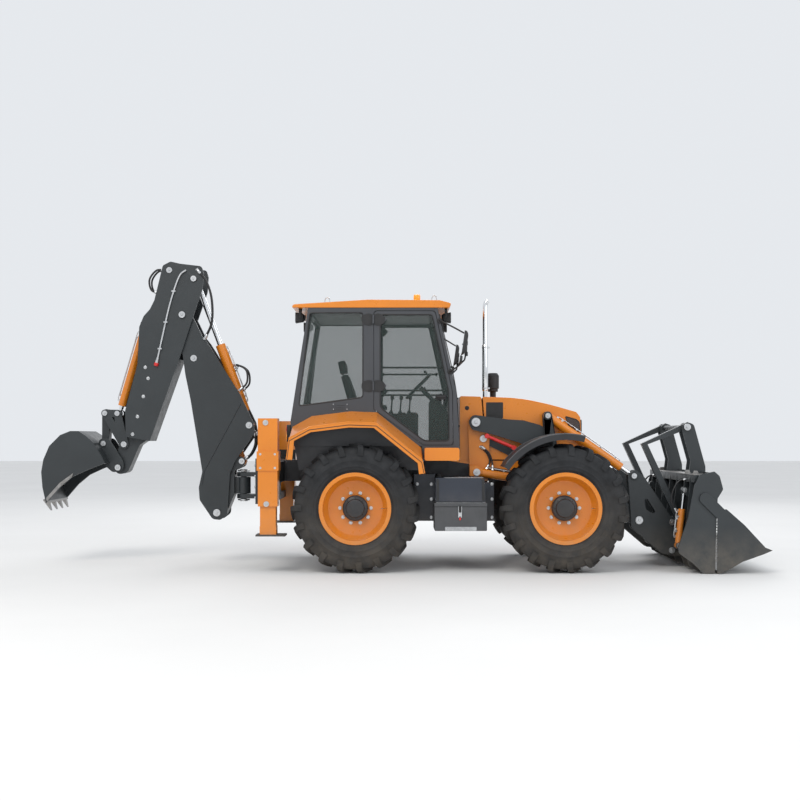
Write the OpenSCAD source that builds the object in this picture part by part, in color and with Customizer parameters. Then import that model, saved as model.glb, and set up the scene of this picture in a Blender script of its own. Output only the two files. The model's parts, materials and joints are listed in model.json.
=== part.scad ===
// Backhoe loader with four equal wheels, front loader with clam bucket and forks, rear digger.
// Millimetres. +X points forward, +Y to the machine's left, +Z up, wheels on Z = 0.
// Profiles in the side view are tables of [x, z] or [x, z, corner radius] and are drawn across Y.

/* [Wheels] */
// Radius of a tyre over its lugs
tyre_r = 685; // [675:1:695]
// Width of a tyre
tyre_w = 430; // [410:1:440]
// Distance between the left and right wheel centres
track = 1890; // [1880:1:1920]
// Distance between the axles
wheelbase = 2220; // [2200:1:2240]
// Radius of the rim's flange
rim_r = 382; // [370:1:395]
// Radius of the hub at a wheel's centre
hub_r = 135; // [120:1:145]
// Radius of the spindle that a wheel turns on
spindle_r = 60; // [50:1:70]
// Distance of a kingpin from the middle of the machine
kingpin_y = 800; // [790:1:805]
// Gap between a front fender and its tyre's lugs
fender_gap = 92; // [85:1:110]

/* [Cab] */
// Width of the cab over its side walls
cab_w = 1500; // [1480:1:1510]
// Thickness of the cab's walls
cab_wall = 50; // [40:1:55]
// Thickness of a door
door_t = 40; // [30:1:45]
// Thickness of the window panes
glass_t = 6; // [5:1:8]
// Reach of the rear wings from the middle of the machine
wing_reach = 1150; // [1140:1:1165]

/* [Hood] */
// Width of the hood and the cowl
hood_w = 670; // [640:1:674]
// Thickness of the hood's shell
hood_t = 14; // [10:1:20]
// Radius of the exhaust pipe
exhaust_r = 27; // [22:1:30]

/* [Loader] */
// Inner face of a loader arm, from the middle of the machine
arm_y = 400; // [398:1:404]
// Thickness of a loader arm
arm_t = 52; // [46:1:56]
// Thickness of the bell cranks, towers and lugs
plate_t = 16; // [12:1:16]
// Radius of the lift rams' barrels
lift_barrel_r = 48; // [40:1:48]
// Radius of the tilt rams' barrels
tilt_barrel_r = 48; // [40:1:48]

/* [Bucket] */
// Width of the loader bucket
bucket_w = 2340; // [2300:1:2360]
// Thickness of the bucket's end plates
bucket_end_t = 20; // [14:1:22]
// Thickness of the bucket's sheets
bucket_sheet_t = 18; // [14:1:22]
// Distance of a fork from the middle of the machine
fork_y = 540; // [530:1:600]
// Width of a fork's square tube
fork_w = 70; // [60:1:80]

/* [Backhoe] */
// Width of the boom over its plates
boom_w = 300; // [280:1:304]
// Width of the dipper over its plates
dipper_w = 364; // [360:1:380]
// Width of the sliding stick
stick_w = 190; // [170:1:200]
// Width of the digging bucket
dig_w = 780; // [700:1:820]
// Radius of the dipper ram's barrel
dig_barrel_r = 57; // [50:1:60]
// Radius of the boom ram's barrel
boom_barrel_r = 48; // [44:1:49]
// Radius of the bucket ram's barrel
curl_barrel_r = 46; // [40:1:50]

/* [Stabilizers] */
// Outer face of a stabilizer, from the middle of the machine
stab_reach = 1130; // [1120:1:1150]
// Width of a stabilizer's casing
stab_w = 200; // [190:1:210]
// Wall of a stabilizer's casing
stab_wall = 14; // [10:1:16]

/* [Clearances] */
// Gap round a pin that turns
pin_gap = 0.4; // [0.3:0.1:1]
// Gap between pieces that only touch
seat_gap = 0.3; // [0.2:0.1:0.6]
// Gap between pieces that move past each other
run_gap = 6; // [5:1:8]

/* [Hidden] */
$fn = 48;

// The digging bucket's rear end and the loader bucket's lip, from the working zero under the cab
rear_end = -3999;
front_end = 3911;
frame_x = -(rear_end + front_end) / 2;

rear_axle_x = -474;
front_axle_x = rear_axle_x + wheelbase;

// Pins of the loader linkage in the side view, [x, z]
arm_pin = [840, 1605];
link_pin = [929, 1423];
lift_pin = [848, 1052];
ram_top = [1634, 1676];
carrier_pin = [2644, 521];
ram_foot = [2587, 1011];
// The crank's pivot and its lower pin complete two parallelograms, so the bucket stays level
crank_pin = ram_top - (ram_foot - carrier_pin);
crank_foot = crank_pin + (link_pin - arm_pin);
lift_eye = [1851, 891];
clam_pin = [3206, 793];
clam_lever = [3060, 870];
clam_ram_pin = [2995, 274];
fork_pin = [3139, 1549];

// Pins of the backhoe in the side view, [x, z]
slew_x = -1790;
boom_foot = [-2076, 583];
boom_ram_foot = [-1801, 1166];
boom_ram_eye = [-2340, 2335];
dipper_pin = [-2465, 2825];
dipper_ram_foot = [-1712, 1575];
dipper_ram_eye = [-2336, 3233];
slide_angle = 16;
curl_ram_top = [-2909, 2743];
rocker_pin = [-3138, 1358];
rocker_eye = [-3214, 1709];
rocker_end = [-3355, 1712];
dig_pin = [-3197, 1096];
dig_link_pin = [-3364, 1368];

// Planes of the loader linkage, from the middle of the machine. A ram's barrel passes between
// the plates.
ram_room = max(lift_barrel_r, tilt_barrel_r) + 4;
ram_y = arm_y + arm_t / 2;
plate_in_y = ram_y - ram_room - plate_t;
pin_flange_r = 90;
plate_out_y = ram_y + ram_room;
link_t = 12;
link_y = plate_in_y - run_gap - link_t;

function unit(v) = v / norm(v);
function side_of(v) = [-v[1], v[0]];
function lean(p, q) = atan2(q[0] - p[0], q[1] - p[1]);
function ring(c, r, a0, a1, n) =
    [for (i = [0 : n]) c + r * [cos(a0 + (a1 - a0) * i / n), sin(a0 + (a1 - a0) * i / n)]];

// One corner of a rounded outline: a and b are its neighbours, p the corner, r its radius
function corner(a, p, b, r, n) = r <= 0 ? [p] :
    let (u = unit(a - p), v = unit(b - p), half = acos(max(-1, min(1, u * v))) / 2,
         centre = p + unit(u + v) * r / sin(half),
         from = p + u * r / tan(half) - centre, to = p + v * r / tan(half) - centre,
         start = atan2(from[1], from[0]),
         turn = ((atan2(to[1], to[0]) - start + 540) % 360) - 180)
    [for (i = [0 : n]) centre + r * [cos(start + turn * i / n), sin(start + turn * i / n)]];

// An outline from [x, z, corner radius] rows
function round_poly(pts, n = 5) = [for (i = [0 : len(pts) - 1])
    let (k = len(pts), a = pts[(i + k - 1) % k], p = pts[i], b = pts[(i + 1) % k])
    each corner([a[0], a[1]], [p[0], p[1]], [b[0], b[1]], len(p) > 2 ? p[2] : 0, n)];

// An outline moved outward by d on every side, each corner where its moved sides meet
function turning(pts) = let (k = len(pts)) [for (i = [0 : k - 1])
    pts[i][0] * pts[(i + 1) % k][1] - pts[i][1] * pts[(i + 1) % k][0]] * [for (p = pts) 1];
function flat(p) = [p[0], p[1]];
function grown(pts, d) = let (k = len(pts), s = turning(pts) > 0 ? -1 : 1) [for (i = [0 : k - 1])
    let (p = flat(pts[i]), m = s * side_of(unit(p - flat(pts[(i + k - 1) % k]))),
         n = s * side_of(unit(flat(pts[(i + 1) % k]) - p)))
    concat(p + d * (m + n) / (1 + m * n), len(pts[i]) > 2 ? [pts[i][2]] : [])];

// A strip of the given thickness on one side of a line of points
function strip(line, t) = let (n = len(line)) concat(line, [for (i = [n - 1 : -1 : 0])
    let (d = unit(line[min(i + 1, n - 1)] - line[max(i - 1, 0)])) line[i] + t * side_of(d)]);

module placed() translate([frame_x, 0, 0]) children();
module slab(y_low, y_high)
    translate([0, y_high, 0]) rotate([90, 0, 0]) linear_extrude(y_high - y_low) children();
module both() {
    children();
    mirror([0, 1, 0]) children();
}
module pin(p, r, y_low, y_high) translate([p[0], y_low, p[1]]) rotate([-90, 0, 0])
    cylinder(h = y_high - y_low, r = r);
module rod(p, q, r, y = 0) translate([p[0], y, p[1]]) rotate([0, lean(p, q), 0])
    cylinder(h = norm(q - p), r = r);
module block(low, high) translate(low) cube(high - low);

// A link's outline: round ends of radius ra and rb joined by their common tangents
module link_shape(a, b, ra, rb) {
    d = norm(b - a);
    u = (b - a) / d;
    v = side_of(u);
    k = (ra - rb) / d;
    h = sqrt(1 - k * k);
    p = ra - 0.1;
    q = rb - 0.1;
    translate(a) circle(ra);
    translate(b) circle(rb);
    polygon([a + p * (k * u + h * v), b + q * (k * u + h * v),
        b + q * (k * u - h * v), a + p * (k * u - h * v)]);
}

// A ram's barrel: eye with its bore, neck, tube and bore for the rod
module barrel(p, q, length, r, eye_r, bore_r, eye_w, y, neck = 0) {
    u = unit(q - p);
    start = max(eye_r * 0.8, neck);
    difference() {
        union() {
            pin(p, eye_r, y - eye_w / 2, y + eye_w / 2);
            if (neck > 0) rod(p + u * eye_r * 0.5, p + u * (neck + 1), r * 0.55, y);
            rod(p + u * start, p + u * length, r, y);
        }
        pin(p, bore_r, y - eye_w, y + eye_w);
        rod(p + u * (max(eye_r, neck) + 30), p + u * (length + 1), r * 0.55 + seat_gap, y);
    }
}

// A ram's rod: eye with its own short pin, and the rod down into the barrel
module ram_rod(p, q, length, r, eye_r, eye_w, y) {
    u = unit(q - p);
    pin(q, eye_r, y - eye_w / 2, y + eye_w / 2);
    rod(p + u * length, q - u * (eye_r + 16), r * 0.55, y);
    rod(q - u * (eye_r + 17), q, min(r * 0.55, eye_w / 2 - 1), y);
}

// Wheels. Their own axis is Z, with the outer side up.
module at_wheel(x, side) translate([x, side * track / 2, tyre_r]) rotate([-90 * side, 0, 0])
    children();

bead_r = rim_r - 30;

module tyre(x, side) color("#2b2d30") placed() at_wheel(x, side) rotate_extrude($fn = 96)
    polygon(round_poly([[bead_r + seat_gap, -tyre_w / 2 + 26], [rim_r + 10, -tyre_w / 2 + 26],
        [rim_r + 30, -tyre_w / 2 + 6, 30], [tyre_r - 150, -tyre_w / 2, 60],
        [tyre_r - 40, -tyre_w / 2 + 20, 40], [tyre_r, -tyre_w / 2 + 70, 30],
        [tyre_r, tyre_w / 2 - 70, 30], [tyre_r - 40, tyre_w / 2 - 20, 40],
        [tyre_r - 150, tyre_w / 2, 60], [rim_r + 30, tyre_w / 2 - 6, 30],
        [rim_r + 10, tyre_w / 2 - 26], [bead_r + seat_gap, tyre_w / 2 - 26]]));

module rim(x, side) color("#d8862c") placed() at_wheel(x, side) difference() {
    union() {
        rotate_extrude($fn = 96) polygon([[bead_r - 12, -tyre_w / 2 + 18],
            [rim_r, -tyre_w / 2 + 18], [rim_r, -tyre_w / 2 + 26 - seat_gap],
            [bead_r, -tyre_w / 2 + 26 - seat_gap], [bead_r, tyre_w / 2 - 26 + seat_gap],
            [rim_r, tyre_w / 2 - 26 + seat_gap], [rim_r, tyre_w / 2 - 18],
            [bead_r - 12, tyre_w / 2 - 18], [bead_r - 12, 130], [292, 44], [hub_r - 4, 30],
            [hub_r - 4, 14], [296, 28], [bead_r - 12, 108]]);
        rotate_extrude($fn = 64) polygon([[0, -75], [hub_r, -75], [hub_r, 105], [hub_r - 14, 118],
            [hub_r - 35, 124], [hub_r - 42, 150], [0, 156]]);
    }
    translate([0, 0, -76]) cylinder(h = 140, r = spindle_r + pin_gap);
}

hub_y = track / 2 - 75;
module spindle(x, side) {
    translate([x, side * (hub_y - 6), tyre_r]) rotate([-90 * side, 0, 0])
        cylinder(h = 130, r = spindle_r);
}

// A beam with a central case and the fork that each front kingpin stands in
module front_axle() color("#3a3f42") placed() union() {
    pin([front_axle_x, tyre_r], 85, -kingpin_y + 120, kingpin_y - 120);
    translate([front_axle_x, 0, tyre_r]) sphere(170, $fn = 64);
    block([front_axle_x - 70, -160, tyre_r + 80], [front_axle_x + 70, 160, axle_seat_z]);
    both() {
        block([front_axle_x - 65, kingpin_y - 155, tyre_r - 140],
            [front_axle_x + 65, kingpin_y - 110, tyre_r + 140]);
        for (z = [-140, 100]) translate([front_axle_x, kingpin_y, tyre_r + z]) {
            cylinder(h = 40, r = 60);
            translate([-60, -155, 0]) cube([120, 155, 40]);
        }
        translate([front_axle_x, kingpin_y, tyre_r - 140]) cylinder(h = 280, r = 28);
    }
}

frame_low = 950;
frame_high = 1175;
axle_seat_z = frame_low - seat_gap;

module rear_axle() color("#3a3f42") placed() union() {
    pin([rear_axle_x, tyre_r], 92, -hub_y + 6, hub_y - 6);
    translate([rear_axle_x, 0, tyre_r]) sphere(190, $fn = 64);
    both() {
        spindle(rear_axle_x, 1);
        block([rear_axle_x - 110, 270, tyre_r + 60], [rear_axle_x + 110, 330, axle_seat_z]);
    }
}

// A steering knuckle with its spindle, and the bracket and fender that turn with the wheel
module knuckle(side) color("#33373a") placed() mirror([0, side < 0 ? 1 : 0, 0]) difference() {
    union() {
        translate([front_axle_x, kingpin_y, tyre_r - 96]) cylinder(h = 192, r = 58);
        pin([front_axle_x, tyre_r], 58, kingpin_y, hub_y - 5);
        spindle(front_axle_x, 1);
        block([front_axle_x - 230, kingpin_y - 25, tyre_r - 35],
            [front_axle_x - 40, kingpin_y + 25, tyre_r + 35]);
        pin([front_axle_x - 200, tyre_r], 35, fender_y, kingpin_y + 20);
        slab(fender_y, fender_y + plate_t) difference() {
            polygon([[front_axle_x - 240, tyre_r - 40], [front_axle_x - 160, tyre_r - 40],
                [front_axle_x - 120, tyre_r + 450], each ring([front_axle_x, tyre_r],
                tyre_r + fender_gap + 4, 95, 128, 6), [front_axle_x - 230, tyre_r + 450]]);
        }
        slab(fender_y, track / 2 + tyre_w / 2) fender_arc(tyre_r + fender_gap, 14);
        slab(track / 2 + tyre_w / 2 - 14, track / 2 + tyre_w / 2) fender_arc(tyre_r + 40, 60);
    }
    translate([front_axle_x, kingpin_y, tyre_r - 100]) cylinder(h = 200, r = 28 + pin_gap);
}
fender_y = track / 2 - tyre_w / 2 - 14 - 16;
module fender_arc(r, t) polygon(concat(
    ring([front_axle_x, tyre_r], r + t, 75, 146, 18),
    ring([front_axle_x, tyre_r], r, 146, 75, 18)));

// Rails, loader towers, cross members, stabilizer casings and the rails that the carriage slides on
stab_x = [-1496, -1290];
stab_in = stab_reach - stab_w;
rail_y = [262, 340];
tower_y = plate_in_y;
rear_rail_z = [[712, 790], [1100, 1178]];
rear_rail_x = [-1496, -1400];
module main_frame() color("#cf8130") placed() union() {
    both() {
        block([rear_rail_x[1] + seat_gap, rail_y[0], frame_low], [2040, rail_y[1], frame_high]);
        slab(tower_y, tower_y + plate_t) polygon(round_poly([[780, frame_low],
            [980, frame_low], [1000, 1430, 60], [930, 1640, 60], [840, 1685, 60],
            [760, 1640, 60]]));
        block([775, rail_y[1] + seat_gap, frame_low], [975, tower_y + 2, frame_high]);
        block([770, tower_y, 1012], [788, plate_out_y + plate_t, 1120]);
        slab(plate_out_y, plate_out_y + plate_t) polygon(round_poly([[770, 1012],
            [900, 1012, 40], [910, 1100, 50], [840, 1125, 40], [770, 1120]]));
        pin(arm_pin, 28, tower_y + 2, arm_y + arm_t + 14);
        pin(link_pin, 20, link_y - 4, tower_y + 2);
        pin(lift_pin, 22, tower_y + 2, plate_out_y + 2);
        stab_casing();
        for (x = [-980, 420]) block([x, rail_y[0], frame_high - 1],
            [x + 120, rail_y[1], cab_floor_z - seat_gap]);
        block([rear_rail_x[1] - 20, rail_y[1] + seat_gap, frame_low],
            [-1290, stab_in - 12 - seat_gap, frame_high]);
    }
    for (z = rear_rail_z)
        block([rear_rail_x[0], -stab_in + 12 + seat_gap, z[0]],
            [rear_rail_x[1], stab_in - 12 - seat_gap, z[1]]);
    block([rear_rail_x[0] + 40, -330, rear_rail_z[0][0]], [rear_rail_x[1], 330, frame_high]);
    for (x = [-1000, 300, 1100, 1960])
        block([x, -rail_y[0] + seat_gap, frame_low + 30],
            [x + 60, rail_y[0] - seat_gap, frame_high - 30]);
    block([front_axle_x - 120, -rail_y[0] + seat_gap, frame_low],
        [front_axle_x + 120, rail_y[0] - seat_gap, frame_low + 80]);
    both() {
        slab(222, 238) {
            translate(hood_pivot) circle(12);
            polygon([[2000, 1060], [2020, 1060], hood_pivot + [11, -4], hood_pivot + [-11, 4],
                [2000, 1140]]);
        }
        pin(hood_pivot, 7, 196, 230);
    }
    difference() {
        translate([0, 0, tie_down[1] - 15]) linear_extrude(30) polygon(round_poly([[2000, -90],
            [2090, -60, 50], [2150, 0, 50], [2090, 60, 50], [2000, 90]]));
        translate([tie_down[0], 0, tie_down[1] - 20]) cylinder(h = 40, r = 25);
    }
}
// The towing eye's bore at the nose, an upright pin's
tie_down = [2090, 1010];

pad_t = run_gap - seat_gap;
module stab_casing() union() {
    difference() {
        union() {
            block([stab_x[0], stab_in, 709], [stab_x[1], stab_reach, 1637]);
            block([stab_x[0] - 12, stab_in - 12, 1085], [stab_x[1] + 12, stab_reach + 12, 1289]);
        }
        block([stab_x[0] + stab_wall, stab_in + stab_wall, 700],
            [stab_x[1] - stab_wall, stab_reach - stab_wall, 1637 - stab_wall]);
    }
    for (x = [stab_x[0] + stab_wall - 1, stab_x[1] - stab_wall - pad_t])
        block([x, stab_in + 50, 720], [x + pad_t + 1, stab_reach - 50, 800]);
}

module stabilizer(side) color("#d8862c") placed() mirror([0, side < 0 ? 1 : 0, 0]) union() {
    block([stab_x[0] + stab_wall + run_gap, stab_in + stab_wall + run_gap, 452],
        [stab_x[1] - stab_wall - run_gap, stab_reach - stab_wall - run_gap, 1500]);
    block([-1522, stab_in - 20, 393], [-1209, stab_reach, 412]);
    block([-1480, stab_in + 20, 405], [-1306, stab_in + 40, 500]);
    block([-1480, stab_reach - 40, 405], [-1306, stab_reach - 20, 500]);
}

module engine_block() color("#55585a") placed()
    block([1000, -300, frame_high + seat_gap], [1740, 300, 1640]);

// Fuel tank between two frame plates, with the step above it, on both sides
box_x = [rear_axle_x + 840, front_axle_x - 823];
module tank() color("#23272c") placed() both() {
    slab(rail_y[1] + seat_gap, 600) polygon([[box_x[0] - 212, 521], [box_x[0] + 17, 521],
        [box_x[0] + 17, 1034], [box_x[0] - 212, 1034]]);
    slab(rail_y[1] + seat_gap, 600) polygon([[box_x[1] - 21, 521], [box_x[1] + 107, 521],
        [box_x[1] + 107, 936], [box_x[1] - 21, 936]]);
    slab(400, 1020) polygon(round_poly([[box_x[0] + 14, 753], [box_x[1] - 18, 753],
        [box_x[1] - 18, 940, 20], [box_x[1] - 63, 1005, 20], [box_x[0] + 14, 1005]]));
}
module tool_box() color("#3c4043") placed() both() {
    slab(600 + seat_gap, 1040) polygon(round_poly([[box_x[0], 444, 12], [box_x[1], 444, 12],
        [box_x[1], 741, 12], [box_x[0], 741, 12]]));
}

// Cab. Its side outline, the door in it and the windows are tables in the side view.
cab_side = [[-1150, 1342], [-1189, 1600], [-997, 2842], [405, 2842], [612, 1921], [643, 1342]];
door_outline = [[-282, 1742], [-282, 2806, 40], [378, 2806, 40], [566, 1930, 60], [574, 1356, 30],
    [256, 1356, 30]];
door_pane = [[-214, 1762], [-214, 2769, 30], [350, 2769, 30], [528, 1940, 60], [531, 1400, 30],
    [262, 1400, 30]];
side_pane = [[-978, 2790, 30], [-402, 2790, 30], [-402, 1872, 30], [-1095, 1778, 30]];
rear_pane = [[-620, 1700, 40], [620, 1700, 40], [620, 2760, 40], [-620, 2760, 40]];
front_pane = [[-640, 1420, 40], [640, 1420, 40], [640, 2760, 40], [-640, 2760, 40]];
cab_floor_z = 1260;
floor_z = cab_side[0][1] + cab_wall;

module across_x(x_low, x_high) translate([x_low, 0, 0]) rotate([90, 0, 90])
    linear_extrude(x_high - x_low) children();

module cab_frame() color("#3d4042") placed() difference() {
    union() {
        difference() {
            slab(-cab_w / 2, cab_w / 2) polygon(cab_side);
            slab(-cab_w / 2 + cab_wall, cab_w / 2 - cab_wall) polygon(grown(cab_side, -cab_wall));
        }
        both() slab(cab_w / 2 - 60, cab_w / 2 - 44)
            polygon([[-1100, 1080], [250, 1080], [250, 1356], [-1150, 1356]]);
        both() block([240, cab_w / 2 - 60, 1189], [640, cab_w / 2, cab_side[0][1] + 1]);
        both() for (z = hinge_z) {
            hinge_knuckle(z - 45, z - 16);
            hinge_knuckle(z + 16, z + 45);
            translate([hinge_at[0], hinge_at[1], z - 45]) cylinder(h = 90, r = 6);
        }
        block([-1100, -cab_w / 2 + 44, cab_floor_z], [640, cab_w / 2 - 44, 1343]);
    }
    both() slab(cab_w / 2 - cab_wall - 2, cab_w / 2 + 2) {
        polygon(round_poly(grown(door_outline, run_gap)));
        polygon(round_poly(side_pane));
    }
    across_x(-1400, -900) polygon(round_poly(rear_pane));
    across_x(350, 700) polygon(round_poly(front_pane));
}

// Door hinges: a pin outside the cab's wall, two knuckles on the frame and one on the door
hinge_z = [1994, 2714];
hinge_at = [-290, cab_w / 2 + 15];
module hinge_knuckle(low, high) {
    translate([hinge_at[0], hinge_at[1], low]) cylinder(h = high - low, r = 12);
    block([hinge_at[0] - 110, cab_w / 2 - 1, low], [hinge_at[0], cab_w / 2 + 8, high]);
}
module door(side) color("#3d4042") placed() mirror([0, side < 0 ? 1 : 0, 0]) union() {
    for (z = hinge_z) difference() {
        union() {
            translate([hinge_at[0], hinge_at[1], z - 15.5]) cylinder(h = 31, r = 12);
            block([hinge_at[0], cab_w / 2 + seat_gap, z - 15.5],
                [hinge_at[0] + 140, cab_w / 2 + 8, z + 15.5]);
            block([hinge_at[0] + 20, cab_w / 2 - 1, z - 15.5],
                [hinge_at[0] + 140, cab_w / 2 + 8, z + 15.5]);
        }
        translate([hinge_at[0], hinge_at[1], z - 20]) cylinder(h = 40, r = 6 + pin_gap);
    }
    difference() {
        slab(cab_w / 2 - door_t, cab_w / 2) polygon(round_poly(door_outline));
        slab(cab_w / 2 - door_t - 1, cab_w / 2 + 1) polygon(round_poly(door_pane));
    }
    slab(cab_w / 2 - door_t / 2 - glass_t / 2, cab_w / 2 - door_t / 2 + glass_t / 2)
        polygon(round_poly(door_pane));
}

module cab_glass() color([0.6, 0.75, 0.7, 0.5]) placed() union() {
    both() slab(cab_w / 2 - cab_wall / 2 - glass_t / 2, cab_w / 2 - cab_wall / 2 + glass_t / 2)
        polygon(round_poly(grown(side_pane, -seat_gap)));
    intersection() {
        slab(-700, 700) polygon([[-1157, 1650], [-1157 + glass_t, 1650],
            [-982 + glass_t, 2810], [-982, 2810]]);
        across_x(-1400, -900) polygon(round_poly(grown(rear_pane, -seat_gap)));
    }
    intersection() {
        slab(-700, 700) polygon([[614, 1380], [614 + glass_t, 1380], [590 + glass_t, 1921],
            [390 + glass_t, 2810], [390, 2810], [590, 1921]]);
        across_x(350, 700) polygon(round_poly(grown(front_pane, -seat_gap)));
    }
}

module cab_roof() color("#e09a3c") placed() union() {
    slab(-cab_w / 2 - 10, cab_w / 2 + 10) polygon(round_poly([[-1174, 2842 + seat_gap, 10],
        [-1160, 2880, 30], [-347, 2931, 200], [430, 2925, 60], [557, 2893, 20],
        [540, 2842 + seat_gap, 10]]));
}

module seat() color("#2c2c2e") placed() union() {
    block([-420, -90, floor_z + seat_gap], [-180, 90, 1560]);
    slab(-250, 250) polygon(round_poly([[-560, 1560, 30], [-60, 1550, 40], [-60, 1660, 40],
        [-430, 1670, 30], [-560, 2180, 40], [-650, 2170, 40]]));
    both() block([-470, 262, 1760], [-140, 310, 1800]);
    both() block([-560, 240, 1700], [-470, 310, 1800]);
}

module controls() color("#303234") placed() union() {
    slab(-130, 130) polygon(round_poly([[330, floor_z + seat_gap], [560, floor_z + seat_gap],
        [560, 1700, 30], [420, 1900, 40], [330, 1850, 40]]));
    rod([380, 1860], [230, 2010], 24);
    translate([215, 0, 2025]) rotate([0, -45, 0]) rotate_extrude($fn = 64)
        translate([190, 0]) circle(15);
    translate([215, 0, 2025]) rotate([0, -45, 0]) union() {
        for (a = [90, 210, 330]) rotate([0, 0, a]) translate([0, -12, -5]) cube([190, 24, 10]);
        translate([0, 0, -15]) cylinder(h = 25, r = 45);
    }
    block([-300, -560, floor_z + seat_gap], [200, -340, 1700]);
    for (x = [-100, 0, 100]) translate([x, -430, 1699]) cylinder(h = 190, r = 9);
}

// Wings: the outline runs outward and down from the cab's side, with a lip along its edge
wing_top = [[-1194, 1325], [-1163, 1553], [-955, 1667], [-540, 1719], [-249, 1708],
    [229, 1325], [259, 1179]];
wing_tilt = 17;
wing_t = 20;
wing_base = 1500;
function shell_below(line, t) = concat(line, [for (i = [len(line) - 1 : -1 : 0])
    line[i] - t * unit(side_of(line[min(i + 1, len(line) - 1)] - line[max(i - 1, 0)]))]);
module rear_wings() color("#e0963a") placed() both() {
    intersection() {
        block([-1300, cab_w / 2 + seat_gap, 900], [400, wing_reach, 1800]);
        translate([0, cab_w / 2, wing_base]) rotate([-wing_tilt, 0, 0])
            slab(-200, wing_reach - cab_w / 2 + 200) polygon(shell_below(
                [for (p = wing_top) [p[0], (p[1] - wing_base) * cos(wing_tilt)]], wing_t));
    }
    slab(wing_reach - 14, wing_reach) polygon(shell_below([for (p = wing_top)
        [p[0], p[1] - (wing_reach - 14 - cab_w / 2) * tan(wing_tilt)]], 60));
    slab(cab_w / 2 + seat_gap, 1000) polygon(round_poly([[262, 1189, 20], [633, 1189, 20],
        [633, 1325, 20], [262, 1325, 20]]));
}

// Cowl and hood
hood_top = [[938, 1887], [1307, 1870, 300], [1627, 1812, 300], [1979, 1715, 60], [2016, 1662, 20]];
hood_seam = [[912, 1887], [975, 1150]];
bowl_r = 70;
hood_pivot = [2034, 1176];
module cowl() color("#e0963a") placed() difference() {
    slab(-hood_w / 2, hood_w / 2) polygon(round_poly([[670, frame_high + seat_gap],
        [967, frame_high + seat_gap], [908, 1893, 20], [670, 1900, 20]]));
    slab(-hood_w / 2 + hood_t, hood_w / 2 - hood_t) polygon([[684, frame_high],
        [980, frame_high], [922, 1877], [684, 1886]]);
}

module hood() color("#e0963a") placed() difference() {
    union() {
        slab(-hood_w / 2, hood_w / 2) polygon(round_poly(concat([[980, 1190]], [[926, 1887, 10]],
            [for (i = [1 : len(hood_top) - 1]) hood_top[i]], [[2040, 1190, 20]])));
        both() slab(200, 216) {
            translate(hood_pivot) circle(14);
            polygon([[2026, 1176], [2040, 1176], [2040, 1230], [2026, 1230]]);
        }
    }
    slab(-hood_w / 2 + hood_t, hood_w / 2 - hood_t) polygon([[900, 1180], [900, 1873],
        [1307, 1856], [1622, 1798], [1972, 1702], [2000, 1660], [2026, 1180]]);
    pin(hood_pivot, 7 + pin_gap, -300, 300);
    block([900, stack_y - exhaust_r - 18, 1800], [1010, stack_y + exhaust_r + 18, 1960]);
    block([900, intake_y - bowl_r - run_gap - 2, 1800],
        [intake_x + bowl_r + run_gap, intake_y + bowl_r + run_gap + 2, 1960]);
}

stack_y = -250;
intake_y = 120;
stack_x = 958;
intake_x = 1075;
module exhaust() color("#c9ccce") placed() union() {
    difference() {
        union() {
            translate([stack_x, stack_y, 1700]) cylinder(h = 1210, r = exhaust_r);
            translate([stack_x + 90, stack_y, 2910]) rotate([90, 0, 0]) rotate_extrude(angle = 50,
                start = 130) translate([90, 0]) circle(exhaust_r);
        }
        translate([stack_x, stack_y, 2000]) cylinder(h = 911, r = exhaust_r - 3);
    }
    translate([1010, stack_y, 1640 + seat_gap]) cylinder(h = 65, r = 60);
    block([940, stack_y - 20, 1660], [1010, stack_y + 20, 1705]);
}
module precleaner() color("#222426") placed() translate([intake_x, intake_y, 0]) union() {
    translate([0, 0, 1640 + seat_gap]) cylinder(h = 330, r = 35);
    translate([0, 0, 1965]) cylinder(h = 40, r = 58);
    translate([0, 0, 2000]) cylinder(h = 150, r = bowl_r);
    translate([0, 0, 2150]) cylinder(h = 30, r1 = bowl_r, r2 = bowl_r - 20);
}

module lamps() color("#1f2123") placed() union() {
    both() {
        block([-1150, 500, 2690], [-1040, 640, 2810]);
        block([-1110, 560, 2800], [-1080, 590, 2842]);
        block([455, 500, 2690], [560, 640, 2810]);
        block([490, 560, 2800], [520, 590, 2842]);
    }
    translate([190, -300, 2927.2 + seat_gap]) cylinder(h = 113, r = 40);
}

module mirrors() color("#1f2123") placed() both() {
    block([630, 860, 2316], [742, 1060, 2575]);
    rod([640, 2540], [422, 2700], 10, 874);
    rod([640, 2360], [543, 2150], 10, 874);
    pin([422, 2700], 12, cab_w / 2 + seat_gap, 880);
    pin([543, 2150], 12, cab_w / 2 + seat_gap, 880);
}

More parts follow.
